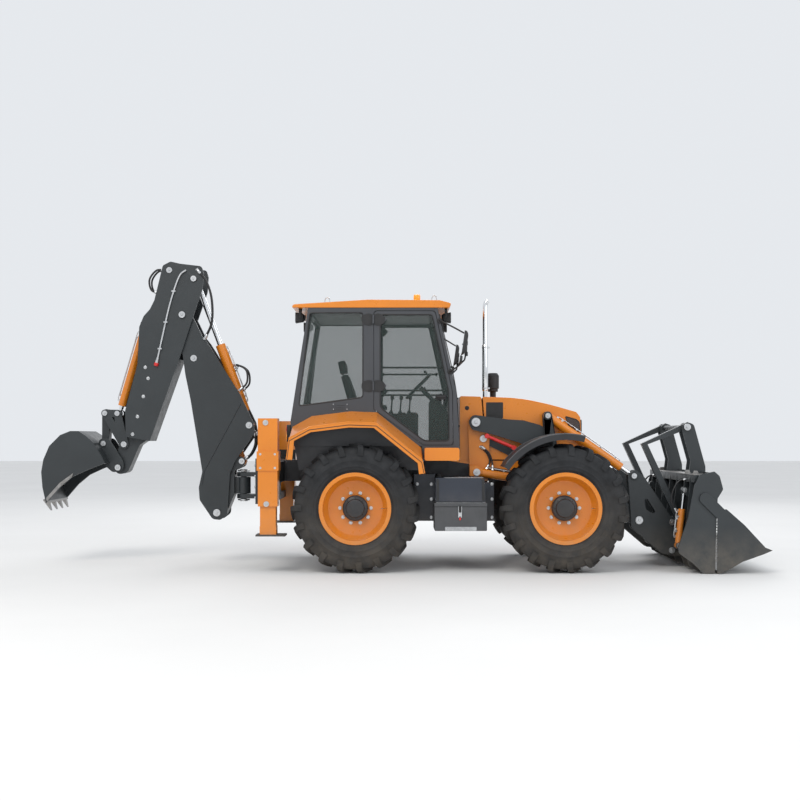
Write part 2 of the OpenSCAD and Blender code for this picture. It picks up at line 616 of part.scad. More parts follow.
// Loader. Arms with the cross tube, plates and pins; right and left alike.
e_u = unit(carrier_pin - crank_pin);
e_n = side_of(e_u);
arm_outline = round_poly([[760, 1605, 60], [800, 1690, 60], [1200, 1636, 200], [1366, 1627, 100],
    [1590, 1565, 160], concat(crank_pin + e_n * 120 + e_u * 60, [100]),
    concat(carrier_pin + e_n * 80 - e_u * 60, [40]), concat(carrier_pin + e_n * 60 + e_u * 70, [50]),
    concat(carrier_pin - e_n * 60 + e_u * 70, [50]), concat(carrier_pin - e_n * 80 - e_u * 60, [40]),
    concat(crank_pin - e_n * 62 + e_u * 60, [60]), concat(crank_pin - e_n * 60 - e_u * 80, [60]),
    [1338, 1374, 100], [1016, 1474, 60], [800, 1520, 60]]);
cross_tube = crank_pin + e_u * 640 + e_n * 10;
module loader_arms() color("#2e3133") placed() difference() {
    union() {
        both() {
            slab(arm_y, arm_y + arm_t) polygon(arm_outline);
            pin(crank_pin, 30, plate_in_y - 4, plate_out_y + plate_t + 4);
            for (y = [arm_y, arm_y + arm_t - 10]) slab(y, y + 10)
                link_shape(lift_eye, lift_eye + e_n * 130, 45, 80);
        }
        pin(cross_tube, 75, -arm_y - 2, arm_y + 2);
    }
    both() {
        pin(arm_pin, 28 + pin_gap, arm_y - 1, arm_y + arm_t + 1);
        pin(carrier_pin, 30 + pin_gap, arm_y - 1, arm_y + arm_t + 1);
    }
}
module levelling_links() color("#2e3133") placed() both() difference() {
    slab(link_y, link_y + link_t) link_shape(link_pin, crank_foot, 42, 42);
    for (p = [link_pin, crank_foot]) pin(p, 20 + pin_gap, link_y - 1, link_y + link_t + 1);
}
module bell_cranks() color("#2e3133") placed() both() difference() {
    union() {
        slab(plate_in_y, plate_in_y + plate_t) union() {
            link_shape(crank_pin, ram_top, 75, 48);
            link_shape(crank_pin, crank_foot, 75, 45);
        }
        slab(plate_out_y, plate_out_y + plate_t) link_shape(crank_pin, ram_top, 75, 48);
        pin(ram_top, 24, plate_in_y + 1, plate_out_y + plate_t + 12);
        pin(ram_top, 44, plate_out_y + plate_t - 1, plate_out_y + plate_t + 6);
        pin(crank_foot, 20, link_y + 1, plate_in_y + 1);
    }
    pin(crank_pin, 30 + pin_gap, plate_in_y - 1, plate_out_y + plate_t + 1);
}

tilt_length = 1000;
module tilt_barrels() color("#d8862c") placed() both()
    barrel(ram_top, ram_foot, tilt_length, tilt_barrel_r, 44, 24 + pin_gap, arm_t - 8, ram_y);
module tilt_rods() color("#c9ccce") placed() both()
    ram_rod(ram_top, ram_foot, 230, tilt_barrel_r, 40, arm_t - 12, ram_y);

lift_length = 800;
module lift_barrels() color("#d8862c") placed() both()
    barrel(lift_pin, lift_eye, lift_length, lift_barrel_r, 44, 22 + pin_gap, 60, ram_y);
module lift_rods() color("#c9ccce") placed() both()
    ram_rod(lift_pin, lift_eye, 80, lift_barrel_r, 36, 28, ram_y);

module carrier_pins() color("#b9bcbe") placed() both() {
    pin(carrier_pin, 30, plate_in_y - 20, plate_out_y + plate_t + 8);
    pin(carrier_pin, 44, plate_out_y + plate_t + seat_gap, plate_out_y + plate_t + 8);
    pin(carrier_pin, pin_flange_r, plate_in_y - 25, plate_in_y - seat_gap);
}

// Carrier plates on both sides of each arm, and the cross bars behind the bucket
carrier_to_bucket = [[3010, 500], [3005, 189]];
module bucket_carrier() color("#2e3133") placed() difference() {
    union() {
        both() for (y = [plate_in_y, plate_out_y]) slab(y, y + plate_t) difference() {
            polygon(round_poly([[2520, 1030, 50], [2600, 1085, 40], [2700, 1000, 40],
                [2990, 570, 20], [3055, 540, 30], [3055, 140, 30], [2900, 150, 30], [2560, 440, 70]]));
            polygon(round_poly([[2690, 830, 20], [2860, 560, 20], [2720, 640, 20]]));
        }
        both() {
            pin(ram_foot, 44, plate_out_y + plate_t - 1, plate_out_y + plate_t + 12);
        }
        pin([2905, 250], 50, -plate_in_y - 1, plate_in_y + 1);
        both() for (p = carrier_to_bucket) pin(p, 24, plate_in_y - 6, plate_out_y + plate_t + 8);
    }
    both() pin(carrier_pin, 30 + pin_gap, plate_in_y - 1, plate_out_y + plate_t + 1);
}

clam_y = 828;
clam_r = 36;

// Loader bucket: the upright blade with its end plates, beam and ribs
blade = [[3300, 1062], [3296, 900], [3284, 740], [3258, 480], [3222, 240], [3196, 8]];
module bucket_back() color("#2b2e31") placed() difference() {
    union() {
        slab(-bucket_w / 2 + 22, bucket_w / 2 - 22) polygon(strip(blade, bucket_sheet_t));
        slab(-bucket_w / 2 + 22, bucket_w / 2 - 22) polygon([[3196, 5], [3310, 5], [3310, 25],
            [3196, 40]]);
        both() slab(bucket_w / 2 - 22 - bucket_end_t, bucket_w / 2 - 22) polygon(round_poly([
            [3145, 1040, 30], [3305, 1078, 20], [3359, 1029, 30], [3397, 890, 40], [3338, 793, 30],
            [3316, 300], [3310, 5], [3188, 5, 20], [3081, 110, 30], [2931, 220, 40],
            [2931, 302, 40], [3028, 590, 60], [3092, 922, 60]]));
        for (y = [-950, -700, -330, 0, 330, 700, 950]) slab(y - 8, y + 8) polygon(concat(
            [[3100, 1020]], [for (p = blade) p + [2, 0]], [[3090, 60], [3020, 250], [3060, 600]]));
        block([3060, -1100, 200], [3140, 1100, 330]);
        both() for (y = [clam_y - clam_r - run_gap - 10, clam_y + clam_r + run_gap])
            slab(y, y + 10) link_shape(clam_ram_pin, [3090, 265], 34, 34);
        both() pin(clam_ram_pin, 18, clam_y - clam_r - 20, clam_y + clam_r + 20);
        both() slab(plate_in_y + plate_t + 1, plate_out_y - 1) polygon(round_poly([
            [2970, 560, 40], [3070, 560, 40], [3270, 500], [3200, 120], [3060, 130, 40],
            [2950, 130, 40]]));
        block([3100, -1100, 960], [3300, 1100, 1040]);
        both() for (y = [fork_y - 90, fork_y + 74]) slab(y, y + 16) polygon(round_poly([
            [3160, 1030], [3342, 1030], [3342, 1118, 40], [3215, 1580, 50], [3130, 1610, 60],
            [3080, 1540, 50], [3180, 1180, 80]]));
    }
    pin(clam_pin, 46 + pin_gap, -bucket_w, bucket_w);
    both() pin(fork_pin, 26, fork_y - 100, fork_y + 100);
    both() for (p = carrier_to_bucket) pin(p, 24 + seat_gap, plate_in_y, plate_out_y + plate_t);
}

// Forks folded back over the arms, on their shaft
module forks() color("#2e3133") placed() union() {
    pin(fork_pin, 26 - seat_gap, -fork_y - 110, fork_y + 110);
    both() slab(fork_y - fork_w / 2, fork_y + fork_w / 2) polygon(round_poly(strip([[3165, 1606],
        [2652, 1367], [3048, 495]], fork_w)));
}

// Clam: floor, lip and ends of the bucket, turning on a shaft behind the blade
clam_floor = [[3330, 4], [3420, 30], [3595, 130], [3830, 214], [3911, 250]];
module bucket_clam() color("#2b2e31") placed() union() {
    slab(-bucket_w / 2, bucket_w / 2) polygon(concat(clam_floor, [[3835, 262], [3600, 160],
        [3430, 70], [3330, 40]]));
    both() slab(bucket_w / 2 - 16, bucket_w / 2) difference() {
        union() {
            polygon(round_poly([[3330, 4], [3420, 30], [3595, 130], [3830, 214], [3911, 250],
                [3835, 280], [3616, 516, 40], [3423, 686, 20], [3330, 640]]));
            link_shape(clam_pin, [3400, 600], 62, 60);
        }
    }
    pin(clam_pin, 46, -bucket_w / 2 + 1, bucket_w / 2 - 1);
    both() for (y = [790, 850]) slab(y, y + 16) link_shape(clam_pin, clam_lever, 62, 34);
}
module clam_barrels() color("#d8862c") placed() both()
    barrel(clam_ram_pin, clam_lever, 395, clam_r, 34, 18 + pin_gap, 2 * clam_r, clam_y);
module clam_rods() color("#c9ccce") placed() both()
    ram_rod(clam_ram_pin, clam_lever, 232, clam_r, 30, 38, clam_y);

// Backhoe. The carriage slides across the rear rails and the kingpost swings on it.
ear_r = 78;
ear_z = [[740, 790], [990, 1040]];
module carriage() color("#33373a") placed() difference() {
    union() {
        block([-1620, -330, 690], [rear_rail_x[0] - run_gap, 330, 1200]);
        block([-1510, -330, rear_rail_z[1][1] + seat_gap], [rear_rail_x[1] - 20, 330, 1210]);
        block([-1510, -330, 680], [rear_rail_x[1] - 20, 330, rear_rail_z[0][0] - run_gap]);
        for (z = ear_z) {
            translate([slew_x, 0, z[0]]) cylinder(h = z[1] - z[0], r = ear_r);
            block([slew_x, -ear_r, z[0]], [-1615, ear_r, z[1]]);
        }
    }
    translate([slew_x, 0, 600]) cylinder(h = 700, r = 32 + pin_gap);
}

nose_y = boom_w / 2 - 30 - run_gap;
module kingpost() color("#2e3133") placed() union() {
    translate([slew_x, 0, ear_z[0][1] + run_gap])
        cylinder(h = ear_z[1][0] - ear_z[0][1] - 2 * run_gap, r = ear_r);
    translate([slew_x, 0, ear_z[0][0] - 10]) cylinder(h = ear_z[1][1] - ear_z[0][0] + 20, r = 32);
    slab(-nose_y, nose_y) polygon(round_poly([[-1885, 1010], [-2010, 930, 30], [-2080, 720],
        [-2160, 640, 60], [-2160, 520, 60], [-2060, 500, 60], [-1980, 560, 40], [-1885, 790]]));
    block([-1890, -60, ear_z[0][1] + run_gap], [slew_x, 60, ear_z[1][0] - run_gap]);
    both() slab(62, nose_y) polygon(round_poly([[-2010, 920], [-1990, 1210, 50],
        [-1770, 1225, 60], [-1770, 1112, 50], [-1885, 1060], [-1885, 1000]]));
    pin(boom_foot, 35, -boom_w / 2 - 12, boom_w / 2 + 12);
    pin(boom_ram_foot, 30, -70, 70);
}

boom_plate = 30;
boom_left = [[-2243, 1051], [-2376, 1861], [-2435, 2145], [-2465, 2367]];
boom_shape = round_poly([[-2127, 510, 60], [-2273, 727, 60], [-2283, 868, 60], [-2243, 1051, 60],
    [-2376, 1861, 200], [-2435, 2145, 200], [-2465, 2367, 60], [-2560, 2825, 60],
    [-2520, 2915, 60], [-2410, 2915, 60], [-2314, 2732, 60], [-2245, 2586, 60], [-2191, 2520, 60],
    [-1822, 1935, 200], [-1665, 1608, 60], [-1645, 1497, 60], [-1867, 1172, 200],
    [-1929, 1031, 100], [-1959, 560, 60], [-2040, 500, 40]]);
module boom() color("#33373a") placed() difference() {
    union() {
        both() slab(boom_w / 2 - boom_plate, boom_w / 2) polygon(boom_shape);
        slab(-boom_w / 2 + 2, boom_w / 2 - 2) polygon(strip([for (i = [3 : -1 : 0]) boom_left[i]],
            16));
        both() slab(dig_barrel_r + run_gap, boom_w / 2 - 2) translate(dipper_ram_foot) circle(48);
        both() slab(38, boom_w / 2 - 2) translate(boom_ram_eye) circle(52);
        pin(dipper_ram_foot, 28, -100, 100);
        pin(dipper_pin, 80, -boom_w / 2 + 2, boom_w / 2 - 2);
        pin(dipper_pin, 36, -dipper_w / 2 - 14, dipper_w / 2 + 14);
    }
    pin(boom_foot, 35 + pin_gap, -boom_w, boom_w);
}
module boom_barrel() color("#d8862c") placed()
    barrel(boom_ram_foot, boom_ram_eye, 1150, boom_barrel_r, 48, 30 + pin_gap, 74, 0);
module boom_rod() color("#c9ccce") placed()
    ram_rod(boom_ram_foot, boom_ram_eye, 85, boom_barrel_r, 40, 66, 0);

dipper_plate = 20;
dipper_shape = round_poly([[-2685, 3383, 40], [-2599, 3428, 40], [-2488, 3403, 60],
    [-2244, 3374, 40], [-2222, 3295, 40], [-2234, 3120, 100], [-2327, 2848, 200],
    [-2468, 2414, 200], [-2832, 1396], [-3103, 1442], [-3112, 1739, 100], [-2971, 2263, 200],
    [-2952, 2687, 60], [-2902, 2809, 60], [-2831, 2889, 60], [-2781, 2989, 60], [-2761, 3070, 60]]);
module dipper() color("#33373a") placed() difference() {
    union() {
        both() slab(dipper_w / 2 - dipper_plate, dipper_w / 2) polygon(dipper_shape);
        slab(-dipper_w / 2 + 2, dipper_w / 2 - 2) polygon(strip([[-2832, 1396], [-2500, 2325]],
            16));
        slab(-dipper_w / 2 + 2, dipper_w / 2 - 2) polygon(strip([[-2440, 3380], [-2599, 3412],
            [-2672, 3376], [-2754, 3070]], 16));
        both() slab(38, dipper_w / 2 + 8) translate(dipper_ram_eye) circle(38);
        both() slab(stick_w / 2 + seat_gap, dipper_w / 2 - 2) polygon([[-3020, 1450],
            [-2900, 1430], [-2860, 1560], [-2985, 1600]]);
    }
    pin(dipper_pin, 36 + pin_gap, -dipper_w, dipper_w);
}
module dipper_barrel() color("#d8862c") placed()
    barrel(dipper_ram_foot, dipper_ram_eye, 985, dig_barrel_r, 40, 28 + pin_gap,
        2 * dig_barrel_r, 0, 170);
module dipper_rod() color("#c9ccce") placed()
    ram_rod(dipper_ram_foot, dipper_ram_eye, 918, dig_barrel_r, 50, 66, 0);

slide = [-sin(slide_angle), -cos(slide_angle)];
stick_shape = round_poly([[-2545, 2619, 10], [-2690, 2660, 10], [-3039, 1440], [-3170, 1410, 50],
    [-3200, 1330, 60], [-3280, 1110, 70], [-3215, 1010, 70], [-3100, 1040, 60],
    [-2965, 1350, 40], [-2895, 1398]]);
module stick() color("#2b2e31") placed() union() {
    slab(-stick_w / 2, stick_w / 2) polygon(stick_shape);
    both() slab(curl_barrel_r + run_gap, 80) polygon(round_poly([[-2640, 2600],
        [-2900, 2560, 30], [-2970, 2740, 50],
        [-2900, 2805, 50], [-2660, 2650]]));
    pin(curl_ram_top, 24, -70, 70);
    pin(dig_pin, 32, -170, 170);
    pin(rocker_pin, 28, -130, 130);
}
module curl_barrel() color("#d8862c") placed()
    barrel(curl_ram_top, rocker_eye, 985, curl_barrel_r, 46, 24 + pin_gap,
        2 * curl_barrel_r, 0);
module curl_rod() color("#c9ccce") placed()
    ram_rod(curl_ram_top, rocker_eye, 200, curl_barrel_r, 40, 46, 0);

rocker_y = stick_w / 2 + run_gap;
module rocker() color("#2e3133") placed() difference() {
    union() {
        both() slab(rocker_y, rocker_y + 20) union() {
            link_shape(rocker_pin, rocker_eye, 52, 42);
            link_shape(rocker_pin, rocker_end, 52, 42);
            link_shape(rocker_eye, rocker_end, 42, 42);
        }
        both() pin(rocker_eye, 24, 27, rocker_y + 28);
        pin(rocker_end, 24, -rocker_y - 28, rocker_y + 28);
    }
    pin(rocker_pin, 28 + pin_gap, -200, 200);
}
module bucket_link() color("#2e3133") placed() difference() {
    union() {
        slab(-60, 60) link_shape(rocker_end, dig_link_pin, 48, 40);
        slab(-59, 59) translate(rocker_end) circle(44);
    }
    pin(rocker_end, 24 + pin_gap, -70, 70);
}

dig_back = [[-3999, 1051], [-3975, 1190], [-3910, 1341], [-3788, 1463], [-3676, 1508],
    [-3587, 1508], [-3498, 1452], [-3420, 1374], [-3330, 1240], [-3290, 1150]];
dig_lip = [[-3932, 717], [-3985, 880]];
module dig_bucket() color("#2b2e31") placed() difference() {
    union() {
        slab(-dig_w / 2, dig_w / 2) polygon(strip([for (i = [len(dig_back) - 1 : -1 : 0])
            dig_back[i]], 20));
        slab(-dig_w / 2, dig_w / 2) polygon([[-3999, 1051], [-3985, 880], [-3945, 700],
            [-3915, 710], [-3955, 880], [-3979, 1051]]);
        both() slab(dig_w / 2 - 24, dig_w / 2) polygon(concat(dig_back, [[-3498, 1068],
            [-3654, 996], [-3788, 884], [-3932, 717], [-3985, 880]]));
        both() slab(125, 149) polygon(round_poly([[-3260, 1040, 60], [-3130, 1060, 60],
            [-3140, 1170, 60], [-3310, 1430, 60], [-3420, 1420, 50], [-3420, 1180]]));
        for (y = [-330, -110, 110, 330]) slab(y - 30, y + 30) polygon([[-3950, 760],
            [-3925, 735], [-3900, 620], [-3990, 740]]);
        pin(dig_link_pin, 24, 125 + 10, 160);
        pin(dig_link_pin, 24, -160, -125 - 10);
    }
    pin(dig_pin, 32 + pin_gap, -200, 200);
}

main_frame();
engine_block();
front_axle();
rear_axle();
tank();
tool_box();
cab_frame();
cab_glass();
cab_roof();
seat();
controls();
rear_wings();
cowl();
hood();
exhaust();
precleaner();
lamps();
mirrors();
door(-1);  // door_right
door(1);  // door_left
knuckle(-1);  // knuckle_right
knuckle(1);  // knuckle_left
tyre(front_axle_x, -1);  // tyre_front_right
tyre(front_axle_x, 1);  // tyre_front_left
tyre(rear_axle_x, -1);  // tyre_rear_right
tyre(rear_axle_x, 1);  // tyre_rear_left
rim(front_axle_x, -1);  // rim_front_right
rim(front_axle_x, 1);  // rim_front_left
rim(rear_axle_x, -1);  // rim_rear_right
rim(rear_axle_x, 1);  // rim_rear_left
loader_arms();
levelling_links();
bell_cranks();
tilt_barrels();
tilt_rods();
lift_barrels();
lift_rods();
carrier_pins();
bucket_carrier();
bucket_back();
forks();
bucket_clam();
clam_barrels();
clam_rods();
carriage();
kingpost();
boom();
boom_barrel();
boom_rod();
dipper();
dipper_barrel();
dipper_rod();
stick();
curl_barrel();
curl_rod();
rocker();
bucket_link();
dig_bucket();
stabilizer(-1);  // stabilizer_right
stabilizer(1);  // stabilizer_left
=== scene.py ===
"""Backhoe loader: finishes, wheels, pins, hoses and cab fittings round its solids."""

import json
from math import cos, hypot, pi, radians, sin, sqrt, tan

import bmesh
import bpy
from mathutils import Matrix, Vector

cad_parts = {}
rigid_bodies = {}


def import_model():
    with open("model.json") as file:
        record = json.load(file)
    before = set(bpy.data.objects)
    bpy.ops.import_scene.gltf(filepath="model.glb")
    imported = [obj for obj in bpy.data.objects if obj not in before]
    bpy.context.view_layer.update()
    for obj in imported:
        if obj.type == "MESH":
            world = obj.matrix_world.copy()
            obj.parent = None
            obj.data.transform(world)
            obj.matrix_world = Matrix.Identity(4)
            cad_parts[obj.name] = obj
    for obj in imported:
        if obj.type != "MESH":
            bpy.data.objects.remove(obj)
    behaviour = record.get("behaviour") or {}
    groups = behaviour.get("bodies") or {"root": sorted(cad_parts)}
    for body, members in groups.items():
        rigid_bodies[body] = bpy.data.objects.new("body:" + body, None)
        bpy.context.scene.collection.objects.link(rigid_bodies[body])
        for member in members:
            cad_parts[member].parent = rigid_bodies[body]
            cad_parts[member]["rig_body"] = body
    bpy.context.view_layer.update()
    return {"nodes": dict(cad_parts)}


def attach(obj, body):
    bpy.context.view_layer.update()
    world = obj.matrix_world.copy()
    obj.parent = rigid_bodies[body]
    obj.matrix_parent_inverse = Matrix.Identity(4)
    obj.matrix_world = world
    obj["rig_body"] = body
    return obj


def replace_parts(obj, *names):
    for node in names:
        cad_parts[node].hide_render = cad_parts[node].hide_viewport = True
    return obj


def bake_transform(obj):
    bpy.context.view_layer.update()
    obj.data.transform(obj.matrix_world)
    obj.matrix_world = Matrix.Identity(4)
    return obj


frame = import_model()
scene = bpy.context.scene

FRAME_X = 44  # the machine's own zero lies this far ahead of the frame's, in millimetres
ACROSS, UP = Vector((0, 1, 0)), Vector((0, 0, 1))
SIDES = ((-1, "right"), (1, "left"))


def at(x, y, z):
    """A point of the machine, given in millimetres from its own zero."""
    return Vector(((x + FRAME_X) / 1000, y / 1000, z / 1000))


# Finishes
DUST = (0.33, 0.27, 0.2, 1)


def surface(name, colour, rough=(0.3, 0.45), metal=0.0, coat=0.0, patch=(3.0, 0.08),
        grain=(220.0, 0.05, 0.0006), dust=(0.0, 0.6), sheen=0.0, alpha=1.0, specular=0.5):
    """A finish with uneven colour, uneven gloss, a fine grain and dust that lies low down."""
    made = bpy.data.materials.new(name)
    made.use_nodes = True
    nodes, links = made.node_tree.nodes, made.node_tree.links
    shader = nodes["Principled BSDF"]
    place = nodes.new("ShaderNodeTexCoord").outputs["Object"]

    def noise(scale, detail=3.0, rough_share=0.55):
        n = nodes.new("ShaderNodeTexNoise")
        n.inputs["Scale"].default_value = scale
        n.inputs["Detail"].default_value = detail
        n.inputs["Roughness"].default_value = rough_share
        links.new(place, n.inputs["Vector"])
        return n.outputs["Fac"]

    def spread(value, a, b, low, high):
        n = nodes.new("ShaderNodeMapRange")
        for socket, number in zip(("From Min", "From Max", "To Min", "To Max"), (a, b, low, high)):
            n.inputs[socket].default_value = number
        links.new(value, n.inputs["Value"])
        return n.outputs["Result"]

    def mixed(factor, first, second):
        n = nodes.new("ShaderNodeMix")
        n.data_type = "RGBA"
        links.new(factor, n.inputs["Factor"])
        for socket, given in ((n.inputs[6], first), (n.inputs[7], second)):
            if hasattr(given, "is_output"):
                links.new(given, socket)
            else:
                socket.default_value = given
        return n.outputs[2]

    dark = tuple(c * (1 - patch[1]) for c in colour[:3]) + (1,)
    light = tuple(min(1, c * (1 + patch[1])) for c in colour[:3]) + (1,)
    base = mixed(spread(noise(patch[0], 5.0), 0.3, 0.7, 0, 1), dark, light)
    if dust[0]:
        height = nodes.new("ShaderNodeSeparateXYZ")
        links.new(place, height.inputs[0])
        low_down = spread(height.outputs["Z"], 0.0, dust[1], dust[0], 0.0)
        cover = nodes.new("ShaderNodeMath")
        cover.operation = "MULTIPLY"
        links.new(low_down, cover.inputs[0])
        links.new(spread(noise(7.0, 8.0, 0.65), 0.35, 0.65, 0.25, 1.0), cover.inputs[1])
        base = mixed(cover.outputs[0], base, DUST)
    links.new(base, shader.inputs["Base Color"])
    links.new(spread(noise(14.0, 6.0), 0.3, 0.7, *rough), shader.inputs["Roughness"])
    if grain:
        bump = nodes.new("ShaderNodeBump")
        bump.inputs["Strength"].default_value = grain[1]
        bump.inputs["Distance"].default_value = grain[2]
        links.new(noise(grain[0], 2.0), bump.inputs["Height"])
        links.new(bump.outputs["Normal"], shader.inputs["Normal"])
    for socket, number in (("Metallic", metal), ("Coat Weight", coat), ("Coat Roughness", 0.12),
                           ("Sheen Weight", sheen), ("Alpha", alpha),
                           ("Specular IOR Level", specular)):
        shader.inputs[socket].default_value = number
    return made


orange_paint = surface("orange_paint", (0.70, 0.215, 0.012), (0.26, 0.4), coat=0.3, patch=(2.0, 0.05),
    dust=(0.35, 0.9))
graphite_paint = surface("graphite_paint", (0.023, 0.028, 0.031), (0.36, 0.52), coat=0.1,
    patch=(2.4, 0.12), grain=(260, 0.08, 0.0006), dust=(0.3, 0.5))
cab_paint = surface("cab_paint", (0.050, 0.053, 0.060), (0.32, 0.45), coat=0.15, patch=(2.5, 0.08))
black_paint = surface("black_paint", (0.020, 0.021, 0.024), (0.35, 0.55), patch=(4, 0.2),
    dust=(0.35, 0.8))
tank_paint = surface("tank_paint", (0.022, 0.028, 0.042), (0.3, 0.45), coat=0.2, patch=(3, 0.12),
    dust=(0.4, 0.9))
tyre_rubber = surface("tyre_rubber", (0.020, 0.021, 0.023), (0.6, 0.85), patch=(9, 0.3),
    grain=(90, 0.35, 0.002), dust=(0.22, 1.0), specular=0.3)
hose_rubber = surface("hose_rubber", (0.014, 0.014, 0.015), (0.42, 0.6), patch=(20, 0.2),
    grain=(600, 0.3, 0.0006))
moulded_black = surface("moulded_black", (0.018, 0.018, 0.019), (0.4, 0.6), patch=(12, 0.15),
    grain=(420, 0.35, 0.0005))
trim_grey = surface("trim_grey", (0.07, 0.072, 0.076), (0.5, 0.65), patch=(8, 0.1),
    grain=(380, 0.3, 0.0005))
chrome_plate = surface("chrome_plate", (0.78, 0.79, 0.80), (0.05, 0.16), metal=1.0, patch=(5, 0.04),
    grain=(300, 0.02, 0.0003))
zinc_plate = surface("zinc_plate", (0.62, 0.63, 0.64), (0.22, 0.42), metal=1.0, patch=(40, 0.12),
    grain=(300, 0.15, 0.0004))
worn_steel = surface("worn_steel", (0.33, 0.32, 0.31), (0.3, 0.55), metal=0.9, patch=(14, 0.3),
    grain=(120, 0.35, 0.001), dust=(0.4, 0.5))
cast_iron = surface("cast_iron", (0.05, 0.052, 0.055), (0.5, 0.75), metal=0.2, patch=(12, 0.2),
    grain=(90, 0.5, 0.0015), dust=(0.4, 0.9))
heat_dark = surface("heat_dark", (0.05, 0.045, 0.045), (0.5, 0.8), metal=0.6, patch=(18, 0.4),
    grain=(160, 0.3, 0.0008))
red_paint = surface("red_paint", (0.62, 0.022, 0.02), (0.3, 0.45), coat=0.25, patch=(6, 0.08))
seat_cloth = surface("seat_cloth", (0.018, 0.018, 0.021), (0.75, 0.9), patch=(30, 0.3),
    grain=(900, 0.6, 0.0012), sheen=0.35, specular=0.25)
white_plastic = surface("white_plastic", (0.62, 0.62, 0.6), (0.35, 0.5), patch=(8, 0.06),
    grain=(300, 0.2, 0.0004))
tread_plate = surface("tread_plate", (0.48, 0.49, 0.5), (0.28, 0.5), metal=1.0, patch=(22, 0.18),
    grain=(200, 0.2, 0.0005))


def clear(name, colour, alpha, rough=0.04, glow=0.0):
    """A see-through finish whose tint deepens where faint dirt lies on it."""
    made = surface(name, colour, (rough, rough + 0.05), patch=(1.6, 0.15), grain=None, alpha=alpha,
        specular=0.7)
    shader = made.node_tree.nodes["Principled BSDF"]
    shader.inputs["Emission Color"].default_value = colour + (1,)
    shader.inputs["Emission Strength"].default_value = glow
    made.surface_render_method = "BLENDED"
    return made


window_glass = clear("window_glass", (0.035, 0.055, 0.048), 0.3)
lamp_glass = clear("lamp_glass", (0.55, 0.57, 0.58), 0.5)
smoked_lens = clear("smoked_lens", (0.03, 0.035, 0.04), 0.8, 0.08)
amber_lens = clear("amber_lens", (0.95, 0.33, 0.02), 0.92, 0.12, 0.25)
mirror_silver = surface("mirror_silver", (0.75, 0.77, 0.79), (0.02, 0.05), metal=1.0, patch=(3, 0.03),
    grain=None)


# Forming
def circle(centre, across, other, radius, sides):
    """Points round a centre in the plane of two unit vectors, radius in millimetres."""
    return [centre + (across * cos(a) + other * sin(a)) * radius / 1000
        for a in (2 * pi * i / sides for i in range(sides))]


def turned(bm, profile, centre=Vector(), axis=UP, sides=32, slot=0):
    """A lathe form: profile rows are (radius, height) in millimetres along the axis."""
    axis = Vector(axis).normalized()
    across = axis.orthogonal().normalized()
    other = axis.cross(across)
    rings = []
    for radius, height in profile:
        middle = centre + axis * height / 1000
        points = circle(middle, across, other, radius, sides) if radius else [middle]
        rings.append([bm.verts.new(p) for p in points])
    for low, high in zip(rings, rings[1:]):
        for i in range(sides):
            j = (i + 1) % sides
            corners = [low[i % len(low)], low[j % len(low)], high[j % len(high)], high[i % len(high)]]
            # A ring of one point makes triangles, and two of them make no face
            corners = list(dict.fromkeys(corners))
            if len(corners) > 2:
                bm.faces.new(corners).material_index = slot
    for ring in (rings[0], rings[-1]):
        if len(ring) > 1 and profile[0] != profile[-1]:
            bm.faces.new(ring).material_index = slot


def loft(bm, sections, slot=0, closed=False):
    """Joins rings of points, one after the other, and caps the two ends."""
    rings = [[bm.verts.new(p) for p in section] for section in sections]
    pairs = list(zip(rings, rings[1:])) + ([(rings[-1], rings[0])] if closed else [])
    for low, high in pairs:
        for i in range(len(low)):
            j = (i + 1) % len(low)
            bm.faces.new([low[i], low[j], high[j], high[i]]).material_index = slot
    if not closed:
        bm.faces.new(rings[0]).material_index = slot
        bm.faces.new(rings[-1]).material_index = slot


def side_plate(bm, outline, y_low, y_high, slot=0):
    """An outline of (x, z) points in the side view, drawn across the machine."""
    loft(bm, [[at(x, y, z) for x, z in outline] for y in (y_low, y_high)], slot)


def front_plate(bm, outline, x_low, x_high, slot=0):
    """An outline of (y, z) points in the front view, drawn along the machine."""
    loft(bm, [[at(x, y, z) for y, z in outline] for x in (x_low, x_high)], slot)


def top_plate(bm, outline, z_low, z_high, slot=0):
    """An outline of (x, y) points in the top view, drawn upward."""
    loft(bm, [[at(x, y, z) for x, y in outline] for z in (z_low, z_high)], slot)


def rounded(x0, x1, z0, z1, r, steps=5):
    """The outline of a rectangle with rounded corners."""
    corners = ((x1 - r, z1 - r, 0), (x0 + r, z1 - r, 90), (x0 + r, z0 + r, 180), (x1 - r, z0 + r, 270))
    return [(cx + r * cos(radians(a + 90 * i / steps)), cz + r * sin(radians(a + 90 * i / steps)))
        for cx, cz, a in corners for i in range(steps + 1)]


def smooth_path(points, steps=8):
    """A soft curve through the points."""
    ends = [points[0] * 2 - points[1]] + list(points) + [points[-1] * 2 - points[-2]]
    path = []
    for a, b, c, d in zip(ends, ends[1:], ends[2:], ends[3:]):
        for i in range(steps):
            t = i / steps
            path.append(0.5 * (2 * b + (c - a) * t + (2 * a - 5 * b + 4 * c - d) * t * t
                + (3 * b - a - 3 * c + d) * t ** 3))
    return path + [points[-1]]


def piped(bm, path, radius, sides=12, slot=0):
    """A round bar or pipe along a path of points, its radius in millimetres."""
    along = [(b - a).normalized() for a, b in zip(path, path[1:])]
    along = [along[0]] + [(a + b).normalized() for a, b in zip(along, along[1:])] + [along[-1]]
    across = along[0].orthogonal().normalized()
    sections = []
    for point, forward in zip(path, along):
        across = (across - forward * across.dot(forward)).normalized()
        other = forward.cross(across)
        sections.append(circle(point, across, other, radius, sides))
    loft(bm, sections, slot)


def block(bm, low, high, slot=0):
    """A square block between two corners."""
    (x0, y0, z0), (x1, y1, z1) = low, high
    top_plate(bm, [(x0, y0), (x1, y0), (x1, y1), (x0, y1)], z0, z1, slot)


